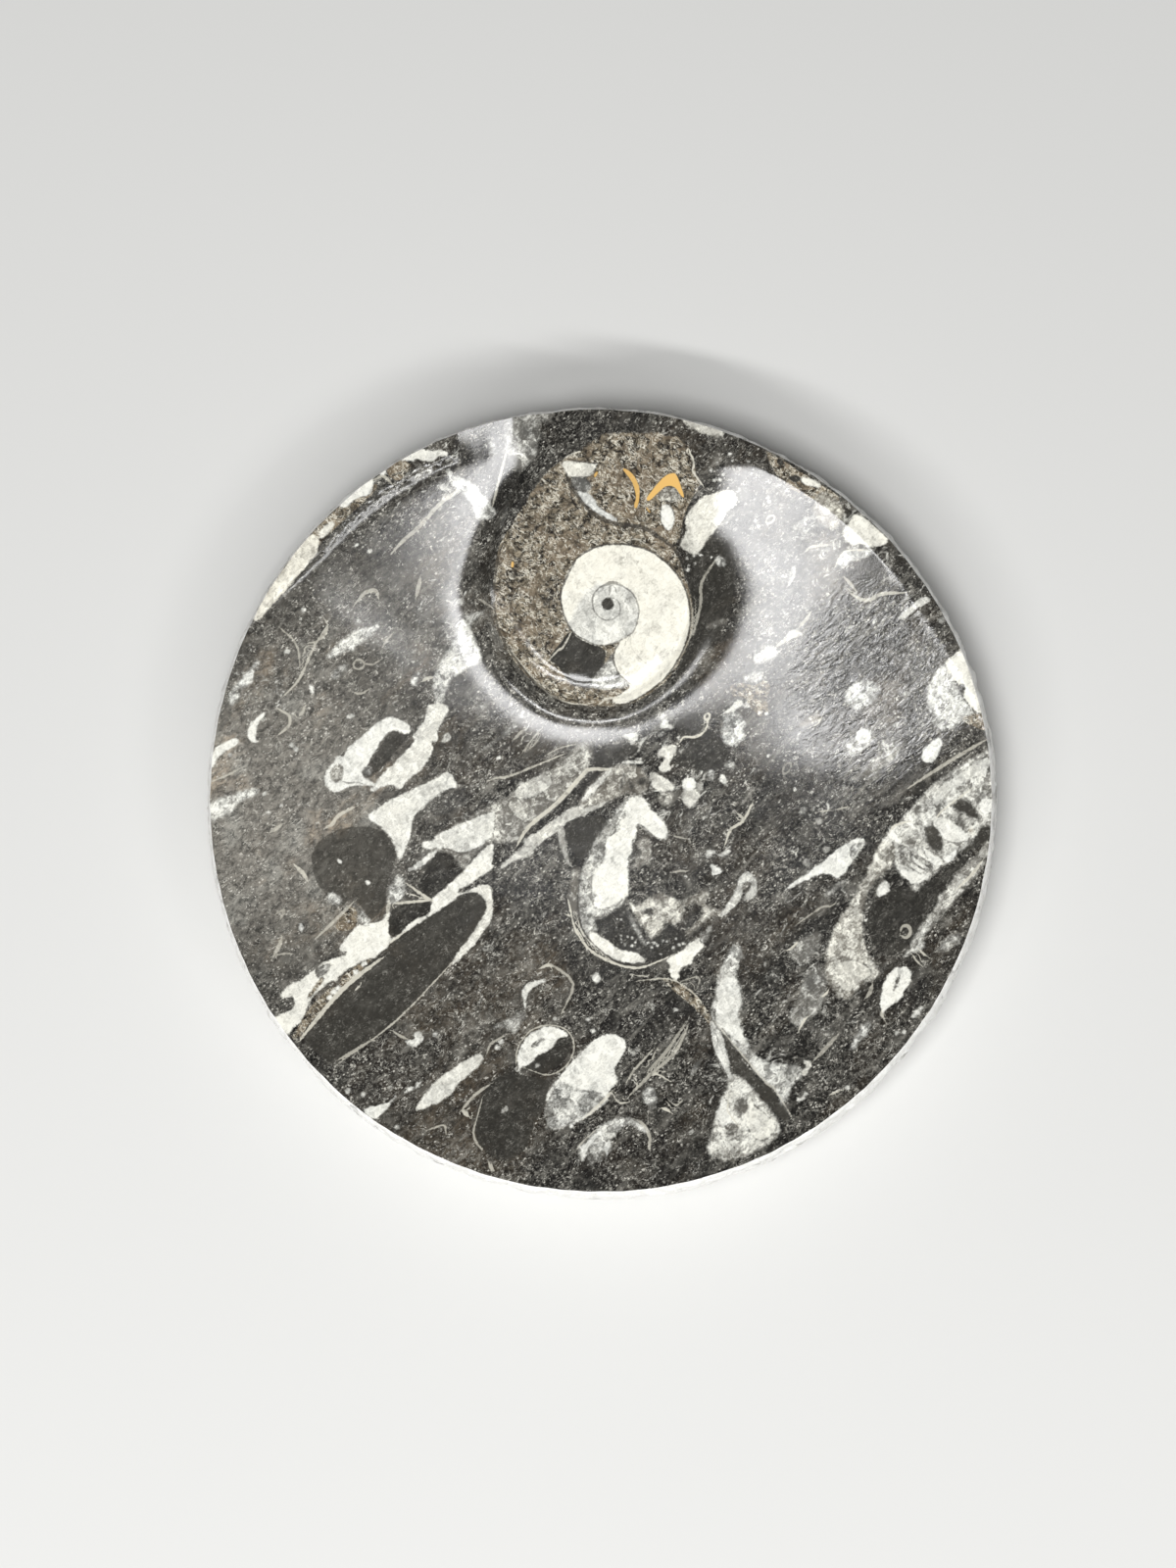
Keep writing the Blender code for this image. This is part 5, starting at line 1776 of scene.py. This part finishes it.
        colour = graph.tint(graph.math("POWER", graph.step(shade, 0.0, 1.12), 1.7), deep, pale)
        graph.feed(out.inputs["Color"], colour)
        return graph.tree

    def shelly(self) -> bpy.types.NodeTree:
        """Brown filling of broken shell, with curved cream slivers and dark gaps in it.

        Returns:
            The group's tree.
        """
        graph, given, out = group_tree("shelly filling", {"Place": (VECTOR, None)}, {"Color": COLOUR})
        place = given.outputs["Place"]
        bends = graph.cloud(graph.placed(place, 30.0, (0.8, 1.1, 1.0)), 2.2, 3.0, 0.55, 2.2)
        where = graph.step(graph.cloud(place, 1.9, 3.0, 0.6), 0.42, 0.58)
        mottle = graph.cloud(place, 1.9, 6.0, 0.72, 1.4)
        colour = graph.tint(graph.step(mottle, 0.36, 0.66), light_of(20, 18, 15), light_of(150, 139, 119))
        large = graph.cloud(graph.placed(place, 0.0, shift=(20.0, 0.0, 0.0)), 5.0, 3.0)
        colour = graph.lay(graph.product(graph.step(large, 0.45, 0.62), 0.45), colour, (134, 119, 99))
        gaps = graph.cloud(graph.placed(place, 0.0, shift=(0.0, 30.0, 0.0)), 2.6, 4.0, 0.62, 1.2)
        colour = graph.lay(graph.product(graph.step(gaps, 0.52, 0.62), 0.88), colour, (28, 25, 22))
        flecks = graph.placed(place, 50.0, (0.6, 1.2, 1.0), (2.0, 9.0, 0.0))
        flecks = graph.step(graph.cloud(flecks, 1.0, 3.0, 0.6, 1.0), 0.6, 0.7)
        colour = graph.lay(graph.product(flecks, 0.85), colour, (226, 221, 206))
        slivers = graph.product(graph.hairs(bends, 0.05), where, 0.9)
        colour = graph.lay(slivers, colour, (222, 217, 201))
        graph.feed(out.inputs["Color"], colour)
        return graph.tree

    def edge(self) -> bpy.types.NodeTree:
        """Turns a distance inside an outline into a mask with a ragged, feathery border.

        Returns:
            The group's tree.
        """
        graph, given, out = group_tree(
            "mark border",
            {
                "Place": (VECTOR, None), "Inside": (FLOAT, 0.0), "Ragged": (FLOAT, 0.12),
                "Softness": (FLOAT, 0.08),
            },
            {"Mask": FLOAT},
        )
        wobble = graph.math("SUBTRACT", graph.cloud(given.outputs["Place"], 0.9, 4.0, 0.7, 0.5), 0.5)
        coarse = graph.math("SUBTRACT", graph.cloud(given.outputs["Place"], 2.6, 2.0, 0.5), 0.5)
        wobble = graph.math("MULTIPLY_ADD", coarse, 0.7, wobble)
        ragged = graph.math("MULTIPLY", given.outputs["Ragged"], 4.0)
        moved = graph.math("MULTIPLY_ADD", wobble, ragged, given.outputs["Inside"])
        low = graph.math("MULTIPLY", given.outputs["Softness"], -1.0)
        graph.feed(out.inputs["Mask"], graph.step(moved, low, given.outputs["Softness"]))
        return graph.tree


def new_material(name: str) -> tuple[bpy.types.Material, Graph, bpy.types.Node]:
    """A material with one Principled shader.

    Args:
        name: The material's name.

    Returns:
        The material, its graph and the shader's node.
    """
    material = bpy.data.materials.new(name)
    material.use_nodes = True
    return material, Graph(material.node_tree), material.node_tree.nodes["Principled BSDF"]


@dataclass(frozen=True)
class PolishedFace:
    """The polished face: dark limestone with every mark of the photograph in it.

    Colours are as read from the photograph, each channel from 0 to 255.

    Attributes:
        patterns: The shared shader groups.
        gloss: Roughness of the polish.
        refraction: Its index of refraction.
        ochre: Colour of the ochre stains.
        pale: Colour of thin shell walls and pale veins.
        seam: Colour of dark seams.
        zones: Where the dark stone is lighter or browner. The lightening is partly the stone's own lighter mud and
            partly painted sheen, the pale veil of the polish in the west, the upper left and the right lobe.
        tooled: Where the tool left its ripples in the polish.
        flaky: Where torn pale flakes crowd.
    """

    patterns: StonePatterns
    gloss: float = 0.155
    refraction: float = 1.58
    ochre: tuple = (228, 184, 108)
    pale: tuple = (214, 210, 195)
    seam: tuple = (58, 55, 50)
    # Lifted zones paint the polish's sheen into the mud: fully in the right lobe, partly in the west and upper
    # left. The last two zones are browner stone.
    zones: tuple[Zone, ...] = (
        Zone(-88.0, -5.0, 58.0, 12.5, -0.2), Zone(-62.0, 42.0, 46.0, 4.4, -0.2), Zone(50.0, 50.0, 50.0, 0.8),
        Zone(82.0, 22.0, 30.0, 1.6), Zone(-45.0, -72.0, 45.0, 0.5, 0.5), Zone(-25.0, -48.0, 30.0, 0.3, 0.3),
    )
    tooled: Zone = Zone(74.0, 30.0, 30.0, 8.5)
    flaky: tuple[Zone, ...] = (
        Zone(17.0, 6.0, 26.0, 1.0), Zone(62.0, 60.0, 34.0, 0.9), Zone(-48.0, 87.0, 24.0, 1.0),
        Zone(62.0, -4.0, 24.0, 0.5), Zone(57.0, -44.0, 30.0, 0.9), Zone(36.0, -73.0, 20.0, 0.7),
        Zone(-90.0, 27.0, 22.0, 0.7), Zone(-37.0, 48.0, 18.0, 0.8), Zone(-35.0, -5.0, 26.0, 0.4),
    )

    def told(self, graph: Graph, kind: Kind) -> tuple[Any, Any, Any]:
        """Reads what the mesh tells about a kind of stone.

        Args:
            graph: The material's graph.
            kind: The kind.

        Returns:
            Its three numbers.
        """
        vector = graph.node(
            "ShaderNodeAttribute", "Vector", attribute_type="GEOMETRY", attribute_name=kind.value,
        )
        split = graph.tree.nodes.new("ShaderNodeSeparateXYZ")
        graph.feed(split.inputs[0], vector)
        return tuple(split.outputs)

    def patch_mask(
        self, graph: Graph, place: Any, kind: Kind, ragged: float, softness: float
    ) -> tuple[Any, Any, Any]:
        """Where a kind of stone shows, with a ragged border.

        Args:
            graph: The material's graph.
            place: Coordinates in millimetres.
            kind: The kind.
            ragged: How far its border strays, in millimetres.
            softness: Half the width over which it fades, in millimetres.

        Returns:
            The kind's mask, tone and warmth.
        """
        inside, tone, warmth = self.told(graph, kind)
        made = self.patterns.use(graph, "edge", Place=place, Inside=inside, Ragged=ragged, Softness=softness)
        return made.outputs["Mask"], tone, warmth

    def line_mask(self, graph: Graph, place: Any, kind: Kind) -> Any:
        """Where a kind of line shows, with fading stretches and swellings.

        Args:
            graph: The material's graph.
            place: Coordinates in millimetres.
            kind: The kind of line.

        Returns:
            The line's mask.
        """
        across, half, tone = self.told(graph, kind)
        swell = graph.math("MULTIPLY", graph.math("SUBTRACT", graph.cloud(place, 1.0, 4.0, 0.7), 0.5), 0.9)
        inside = graph.math("ADD", graph.math("SUBTRACT", half, graph.math("ABSOLUTE", across)), swell)
        broken = graph.cloud(graph.placed(place, 0.0, shift=(6.0, 1.0, 0.0)), 1.7, 4.0, 0.7)
        return graph.product(graph.step(inside, -0.12, 0.12), tone, graph.step(broken, 0.3, 0.5, 0.45, 1.0))

    def spread_lightness_sheen_and_brown(self, graph: Graph, place: Any) -> tuple[Any, Any]:
        """Spreads the lighter zones, whose lightening is partly painted sheen, and the brown zones over the dark
        stone.

        Args:
            graph: The material's graph.
            place: Coordinates in millimetres.

        Returns:
            How much lighter than plain the stone is, and how brown it is.
        """
        lift: Any = 0.0
        brown: Any = 0.25
        for zone in self.zones:
            share = graph.spot(place, zone)
            lift = graph.math("MULTIPLY_ADD", share, zone.lift, lift)
            if zone.brown:
                brown = graph.math("MULTIPLY_ADD", share, zone.brown, brown)
        return lift, brown

    def flakes(self, graph: Graph, place: Any) -> Any:
        """Torn pale flakes and veinlets, which crowd in some zones.

        Args:
            graph: The material's graph.
            place: Coordinates in millimetres.

        Returns:
            Their mask.
        """
        crowd: Any = 0.0
        for zone in self.flaky:
            crowd = graph.math("MULTIPLY_ADD", graph.spot(place, zone), zone.lift, crowd)
        torn = graph.placed(place, -self.patterns.flow, (0.7, 1.15, 1.0), (13.0, 21.0, 0.0))
        torn = graph.math("MULTIPLY_ADD", crowd, 0.085, graph.cloud(torn, 3.4, 7.0, 0.74, 1.3))
        return graph.math("MULTIPLY", graph.step(torn, 0.61, 0.7), 0.8)

    def colour(self, graph: Graph, place: Any) -> Any:
        """Lays the kinds of stone over each other, from the dark mud up to the seams.

        Args:
            graph: The material's graph.
            place: Coordinates in millimetres.

        Returns:
            The face's colour.
        """
        use = self.patterns.use
        lift, brown = self.spread_lightness_sheen_and_brown(graph, place)
        colour = use(graph, "limestone", Place=place, Brownness=brown, Lift=lift).outputs["Color"]
        crystals = {"Place": place, "Tone": 0.74, "Warmth": 0.35, "Crystal Contrast": 0.4}
        flakes = use(graph, "calcite", **crystals).outputs["Color"]
        colour = graph.tint(self.flakes(graph, place), colour, flakes)
        mask = self.patch_mask(graph, place, SHELLY, 0.22, 0.15)[0]
        colour = graph.tint(mask, colour, use(graph, "shelly", Place=place).outputs["Color"])
        mask, tone, _ = self.patch_mask(graph, place, DARK, 0.14, 0.14)
        # The dark fillings take part of the same lightening, which is partly painted sheen.
        mud = {"Place": place, "Hash": 0.5, "Brownness": 0.15, "Lift": graph.math("MULTIPLY", lift, 0.4)}
        plain_mud = use(graph, "limestone", **mud).outputs["Color"]
        depth = graph.lay(tone, light_of(33, 32, 29), (90, 87, 79))
        colour = graph.tint(mask, colour, graph.tint(0.42, plain_mud, depth))
        mask, tone, warmth = self.patch_mask(graph, place, GREY, 0.5, 0.6)
        tone = graph.math("MULTIPLY_ADD", tone, 1.1, -0.1)
        crystals = {"Place": place, "Tone": tone, "Warmth": warmth, "Crystal Contrast": 0.6}
        colour = graph.tint(mask, colour, use(graph, "calcite", **crystals).outputs["Color"])
        mask, tone, warmth = self.patch_mask(graph, place, CALCITE, 0.34, 0.28)
        crystals = {"Place": place, "Tone": tone, "Warmth": warmth, "Crystal Contrast": 0.14}
        colour = graph.tint(mask, colour, use(graph, "calcite", **crystals).outputs["Color"])
        mask, tone, _ = self.patch_mask(graph, place, OCHRE, 0.05, 0.1)
        colour = graph.lay(graph.math("MULTIPLY", mask, tone), colour, self.ochre)
        colour = graph.lay(self.line_mask(graph, place, LINE), colour, self.pale)
        return graph.lay(self.line_mask(graph, place, SEAM), colour, self.seam)

    def build(self) -> bpy.types.Material:
        """Builds the finish.

        Returns:
            The material.
        """
        material, graph, shader = new_material("polished fossil limestone")
        place = self.patterns.use(graph, "millimetres").outputs["Place"]
        graph.feed(shader.inputs["Base Color"], self.colour(graph, place))
        wear = graph.math("SUBTRACT", graph.cloud(place, 7.0, 4.0, 0.6), 0.5)
        graph.feed(shader.inputs["Roughness"], graph.math("MULTIPLY_ADD", wear, 0.2, self.gloss))
        ripples = graph.cloud(graph.placed(place, -35.0, (0.5, 1.3, 1.0)), 2.3, 4.0, 0.6, 1.0)
        tooled = graph.spot(place, self.tooled)
        ripples = graph.math("MULTIPLY", ripples, graph.math("MULTIPLY_ADD", tooled, self.tooled.lift, 0.5))
        height = graph.math("MULTIPLY_ADD", graph.cloud(place, 0.35, 2.0), 0.3, ripples)
        normal = graph.node("ShaderNodeBump", strength=0.35, distance=0.14 * MM, height=height)
        graph.feed(shader.inputs["Normal"], normal)
        shader.inputs["IOR"].default_value = self.refraction
        return material


@dataclass(frozen=True)
class PitchedStone:
    """The rough side: bruised near white by the chisel, with the dark stone showing through."""

    patterns: StonePatterns

    def build(self) -> bpy.types.Material:
        """Builds the finish.

        Returns:
            The material.
        """
        material, graph, shader = new_material("pitched limestone side")
        place = self.patterns.use(graph, "millimetres").outputs["Place"]
        stone = self.patterns.use(graph, "limestone", Place=place, Hash=0.5).outputs["Color"]
        bruise = graph.cloud(place, 2.6, 6.0, 0.72, 0.4)
        dust = graph.lay(graph.step(bruise, 0.35, 0.7), light_of(232, 231, 226), (255, 255, 253))
        worn = graph.cloud(graph.placed(place, 0.0, shift=(50.0, 0.0, 9.0)), 5.5, 5.0, 0.7)
        colour = graph.tint(graph.math("MULTIPLY", graph.step(worn, 0.55, 0.68), 0.5), dust, stone)
        pits = graph.step(graph.cells(place, 0.9), 0.08, 0.2, 0.65, 0.0)
        colour = graph.lay(pits, colour, (128, 124, 116))
        graph.feed(shader.inputs["Base Color"], colour)
        graph.feed(shader.inputs["Roughness"], graph.step(bruise, 0.2, 0.8, 0.72, 0.95))
        height = graph.cloud(place, 0.8, 5.0, 0.7)
        normal = graph.node("ShaderNodeBump", strength=0.6, distance=0.4 * MM, height=height)
        graph.feed(shader.inputs["Normal"], normal)
        return material


@dataclass(frozen=True)
class SawnStone:
    """The sawn underside: matte grey with the blade's marks and a few cut fossils.

    Attributes:
        patterns: The shared shader groups.
        blade: Gap between the blade's marks, in millimetres.
        turn: Direction in degrees in which they run.
        shell: Size of the cut fossils, in millimetres.
    """

    patterns: StonePatterns
    blade: float = 1.1
    turn: float = 12.0
    shell: float = 9.0

    def build(self) -> bpy.types.Material:
        """Builds the finish.

        Returns:
            The material.
        """
        material, graph, shader = new_material("sawn limestone underside")
        place = self.patterns.use(graph, "millimetres").outputs["Place"]
        stone = self.patterns.use(graph, "limestone", Place=place, Hash=0.6).outputs["Color"]
        colour = graph.lay(0.5, stone, (150, 148, 141))
        stretched = graph.placed(place, -self.patterns.flow, (0.4, 1.0, 1.0))
        shells = graph.step(graph.cells(stretched, self.shell), 0.24, 0.27, 1.0, 0.0)
        chosen = graph.cells(stretched, self.shell, outputs="Color")
        chosen = graph.node("ShaderNodeSeparateColor", "Blue", color=chosen)
        mask = graph.math("MULTIPLY", shells, graph.step(chosen, 0.66, 0.7))
        crystals = {"Place": place, "Tone": 0.72, "Warmth": 0.5, "Crystal Contrast": 0.3}
        calcite = self.patterns.use(graph, "calcite", **crystals).outputs["Color"]
        colour = graph.tint(graph.math("MULTIPLY", mask, 0.8), colour, calcite)
        lines = graph.placed(place, self.turn, (0.03, 1.0, 1.0))
        sawn = graph.cloud(lines, self.blade, 3.0, 0.6)
        colour = graph.lay(graph.product(graph.step(sawn, 0.5, 0.75), 0.25), colour, (190, 188, 180))
        graph.feed(shader.inputs["Base Color"], colour)
        graph.feed(shader.inputs["Roughness"], graph.step(sawn, 0.2, 0.8, 0.62, 0.82))
        normal = graph.node("ShaderNodeBump", strength=0.5, distance=0.15 * MM, height=sawn)
        graph.feed(shader.inputs["Normal"], normal)
        return material


@dataclass
class ChippedSide:
    """A geometry tree that chips the rough side and gives each part of the stone its finish.

    Attributes:
        chip_size: Width of a chip.
        chip_depth: How far chips move the stone.
        grain_size: Width of the grain between them.
        grain_depth: How far the grain moves the stone.
        seed: Which of the patterns is taken.
        chip_middle: The cell pattern's value at which the stone stays where it is.
    """

    chip_size: float = 3.2 * MM
    chip_depth: float = 0.75 * MM
    grain_size: float = 1.0 * MM
    grain_depth: float = 0.28 * MM
    seed: float = 4.0
    chip_middle: float = 0.55

    def sizes(self) -> dict[str, float]:
        """The tree's inputs by name."""
        return {
            "Chip Size": self.chip_size, "Chip Depth": self.chip_depth, "Grain Size": self.grain_size,
            "Grain Depth": self.grain_depth, "Seed": self.seed,
        }

    def tree(self, finishes: Sequence[bpy.types.Material]) -> tuple[bpy.types.NodeTree, dict[str, str]]:
        """Builds the tree.

        Args:
            finishes: Materials for the polished face, the rough side and the sawn base.

        Returns:
            The tree, and the identifier of each of its inputs by name.
        """
        tree = bpy.data.node_groups.new("chipped side", "GeometryNodeTree")
        graph = Graph(tree)
        tree.interface.new_socket("Geometry", in_out="INPUT", socket_type="NodeSocketGeometry")
        sockets = {}
        for label, value in self.sizes().items():
            made = tree.interface.new_socket(label, in_out="INPUT", socket_type="NodeSocketFloat")
            made.default_value = value
            sockets[label] = made.identifier
        tree.interface.new_socket("Geometry", in_out="OUTPUT", socket_type="NodeSocketGeometry")
        given, out = tree.nodes.new("NodeGroupInput"), tree.nodes.new("NodeGroupOutput")
        pitched = graph.node("GeometryNodeInputNamedAttribute", 0, data_type="FLOAT", name="pitched")
        normal = graph.node("GeometryNodeInputNormal", 0)
        chip_scale = graph.math("DIVIDE", 1.0, given.outputs["Chip Size"])
        grain_scale = graph.math("DIVIDE", 1.0, given.outputs["Grain Size"])
        place = graph.node("GeometryNodeInputPosition", 0)
        chips = graph.node(
            "ShaderNodeTexVoronoi", "Distance", voronoi_dimensions="4D", vector=place,
            w=given.outputs["Seed"], scale=chip_scale,
        )
        grain = graph.node(
            "ShaderNodeTexNoise", 0, noise_dimensions="4D", vector=place, w=given.outputs["Seed"],
            scale=grain_scale, detail=3.0,
        )
        struck = graph.math("SUBTRACT", chips, self.chip_middle)
        struck = graph.math("MULTIPLY", struck, given.outputs["Chip Depth"])
        rough = graph.math("MULTIPLY", graph.math("SUBTRACT", grain, 0.5), given.outputs["Grain Depth"])
        amount = graph.math("MULTIPLY", graph.math("ADD", struck, rough), pitched)
        move = graph.node("ShaderNodeVectorMath", operation="SCALE", vector=normal, scale=amount)
        shape = graph.node("GeometryNodeSetPosition", 0, geometry=given.outputs["Geometry"], offset=move)
        shape = graph.node("GeometryNodeRealizeInstances", 0, geometry=shape)
        region = graph.node("GeometryNodeInputNamedAttribute", 0, data_type="INT", name="region")
        for number, finish in enumerate(finishes):
            here = graph.node(
                "FunctionNodeCompare", 0, data_type="INT", operation="EQUAL", in_2=region, in_3=number,
            )
            shape = graph.node("GeometryNodeSetMaterial", 0, geometry=shape, selection=here, material=finish)
        graph.feed(out.inputs[0], shape)
        return tree, sockets

    def apply(self, stone: bpy.types.Object, finishes: Sequence[bpy.types.Material]) -> bpy.types.Object:
        """Runs the tree on a stone and returns the result as a plain mesh object.

        Args:
            stone: The stone to chip. It is removed afterwards.
            finishes: Materials for the polished face, the rough side and the sawn base.

        Returns:
            The finished stone.
        """
        tree, sockets = self.tree(finishes)
        modifier = stone.modifiers.new("chipped side", "NODES")
        modifier.node_group = tree
        for label, value in self.sizes().items():
            modifier[sockets[label]] = value
        seen = stone.evaluated_get(bpy.context.evaluated_depsgraph_get())
        mesh = bpy.data.meshes.new_from_object(seen)
        mesh.name = "fossil_stone"
        finished = bpy.data.objects.new("fossil_stone", mesh)
        bpy.context.scene.collection.objects.link(finished)
        stone.modifiers.remove(modifier)
        bpy.data.objects.remove(stone)
        return finished


@dataclass(frozen=True)
class Softbox:
    """A soft oblong lamp that faces the dish.

    Attributes:
        azimuth: Its direction round the dish, in degrees.
        elevation: Its height above the floor, in degrees.
        distance: How far it is from the dish's centre, in metres.
        width: How wide it is, in metres.
        height: How high it is, in metres.
        power: Its power in watts.
    """

    azimuth: float
    elevation: float
    distance: float
    width: float
    height: float
    power: float


@dataclass
class Studio:
    """Plain soft studio light and a plain pale floor.

    Attributes:
        floor_size: Length of the floor's sides.
        floor_colour: Its colour, each channel from 0 to 255.
        floor_cloud: Clouds of slightly darker floor in a metre.
        floor_darker: Share of its light that is left in the middle of one.
        key: The lamp whose sheen lies in both lobes of the basin.
        low: The strip that draws the thin bright arc at the foot of the boss.
        side: The lamp that lights the basin's upper left edge.
        sky: Strength of the room's even light.
    """

    floor_size: float = 3.0
    floor_colour: tuple = (208, 208, 206)
    floor_cloud: float = 3.0
    floor_darker: float = 0.97
    key: Softbox = Softbox(240.0, 76.5, 1.5, 0.62, 0.54, 14.8)
    low: Softbox = Softbox(258.0, 48.0, 1.5, 1.6, 0.12, 14.0)
    side: Softbox = Softbox(312.0, 42.0, 1.5, 0.5, 0.3, 4.0)
    sky: float = 0.12

    def lamp(self, name: str, box: Softbox) -> None:
        """Hangs a softbox.

        Args:
            name: The lamp's name.
            box: The softbox.
        """
        data = bpy.data.lights.new(name, "AREA")
        data.shape = "RECTANGLE"
        data.size, data.size_y = box.width, box.height
        data.energy = box.power
        lamp = bpy.data.objects.new(name, data)
        turn, rise = math.radians(box.azimuth), math.radians(box.elevation)
        way = Vector((math.cos(rise) * math.cos(turn), math.cos(rise) * math.sin(turn), math.sin(rise)))
        lamp.location = way * box.distance
        lamp.rotation_euler = way.to_track_quat("Z", "Y").to_euler()
        bpy.context.scene.collection.objects.link(lamp)

    def floor(self) -> None:
        """Lays the floor."""
        half = 0.5 * self.floor_size
        corners = [(-half, -half, 0), (half, -half, 0), (half, half, 0), (-half, half, 0)]
        mesh = bpy.data.meshes.new("studio_floor")
        mesh.from_pydata(corners, [], [(0, 1, 2, 3)])
        material, graph, shader = new_material("plain pale floor")
        place = graph.node("ShaderNodeTexCoord", "Object")
        soft = graph.node("ShaderNodeTexNoise", 0, vector=place, scale=self.floor_cloud, detail=2.0)
        pale = light_of(*self.floor_colour)
        darker = (*(self.floor_darker * channel for channel in pale[:3]), 1.0)
        graph.feed(shader.inputs["Base Color"], graph.tint(soft, pale, darker))
        shader.inputs["Roughness"].default_value = 0.9
        mesh.materials.append(material)
        floor = bpy.data.objects.new("studio_floor", mesh)
        bpy.context.scene.collection.objects.link(floor)

    def build(self) -> None:
        """Floor, three softboxes and the even light of a pale room."""
        self.floor()
        self.lamp("key_softbox", self.key)
        self.lamp("low_softbox", self.low)
        self.lamp("side_softbox", self.side)
        world = bpy.data.worlds.new("pale_room")
        world.use_nodes = True
        background = world.node_tree.nodes["Background"]
        background.inputs["Color"].default_value = (1.0, 1.0, 1.0, 1.0)
        background.inputs["Strength"].default_value = self.sky
        bpy.context.scene.world = world
        bpy.context.scene.view_settings.view_transform = "Standard"


def main() -> None:
    """Builds the camera, the light and the stone."""
    logging.basicConfig(level=logging.INFO, format="%(message)s")
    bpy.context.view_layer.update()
    CAMERA.build()
    Studio().build()
    patterns = StonePatterns()
    patterns.build()
    finishes = [PolishedFace(patterns).build(), PitchedStone(patterns).build(), SawnStone(patterns).build()]
    stone = ChippedSide().apply(StoneMesh().build(), finishes)
    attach(stone, "root")
    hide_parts("fossil_dish")


if __name__ == "__main__":
    main()
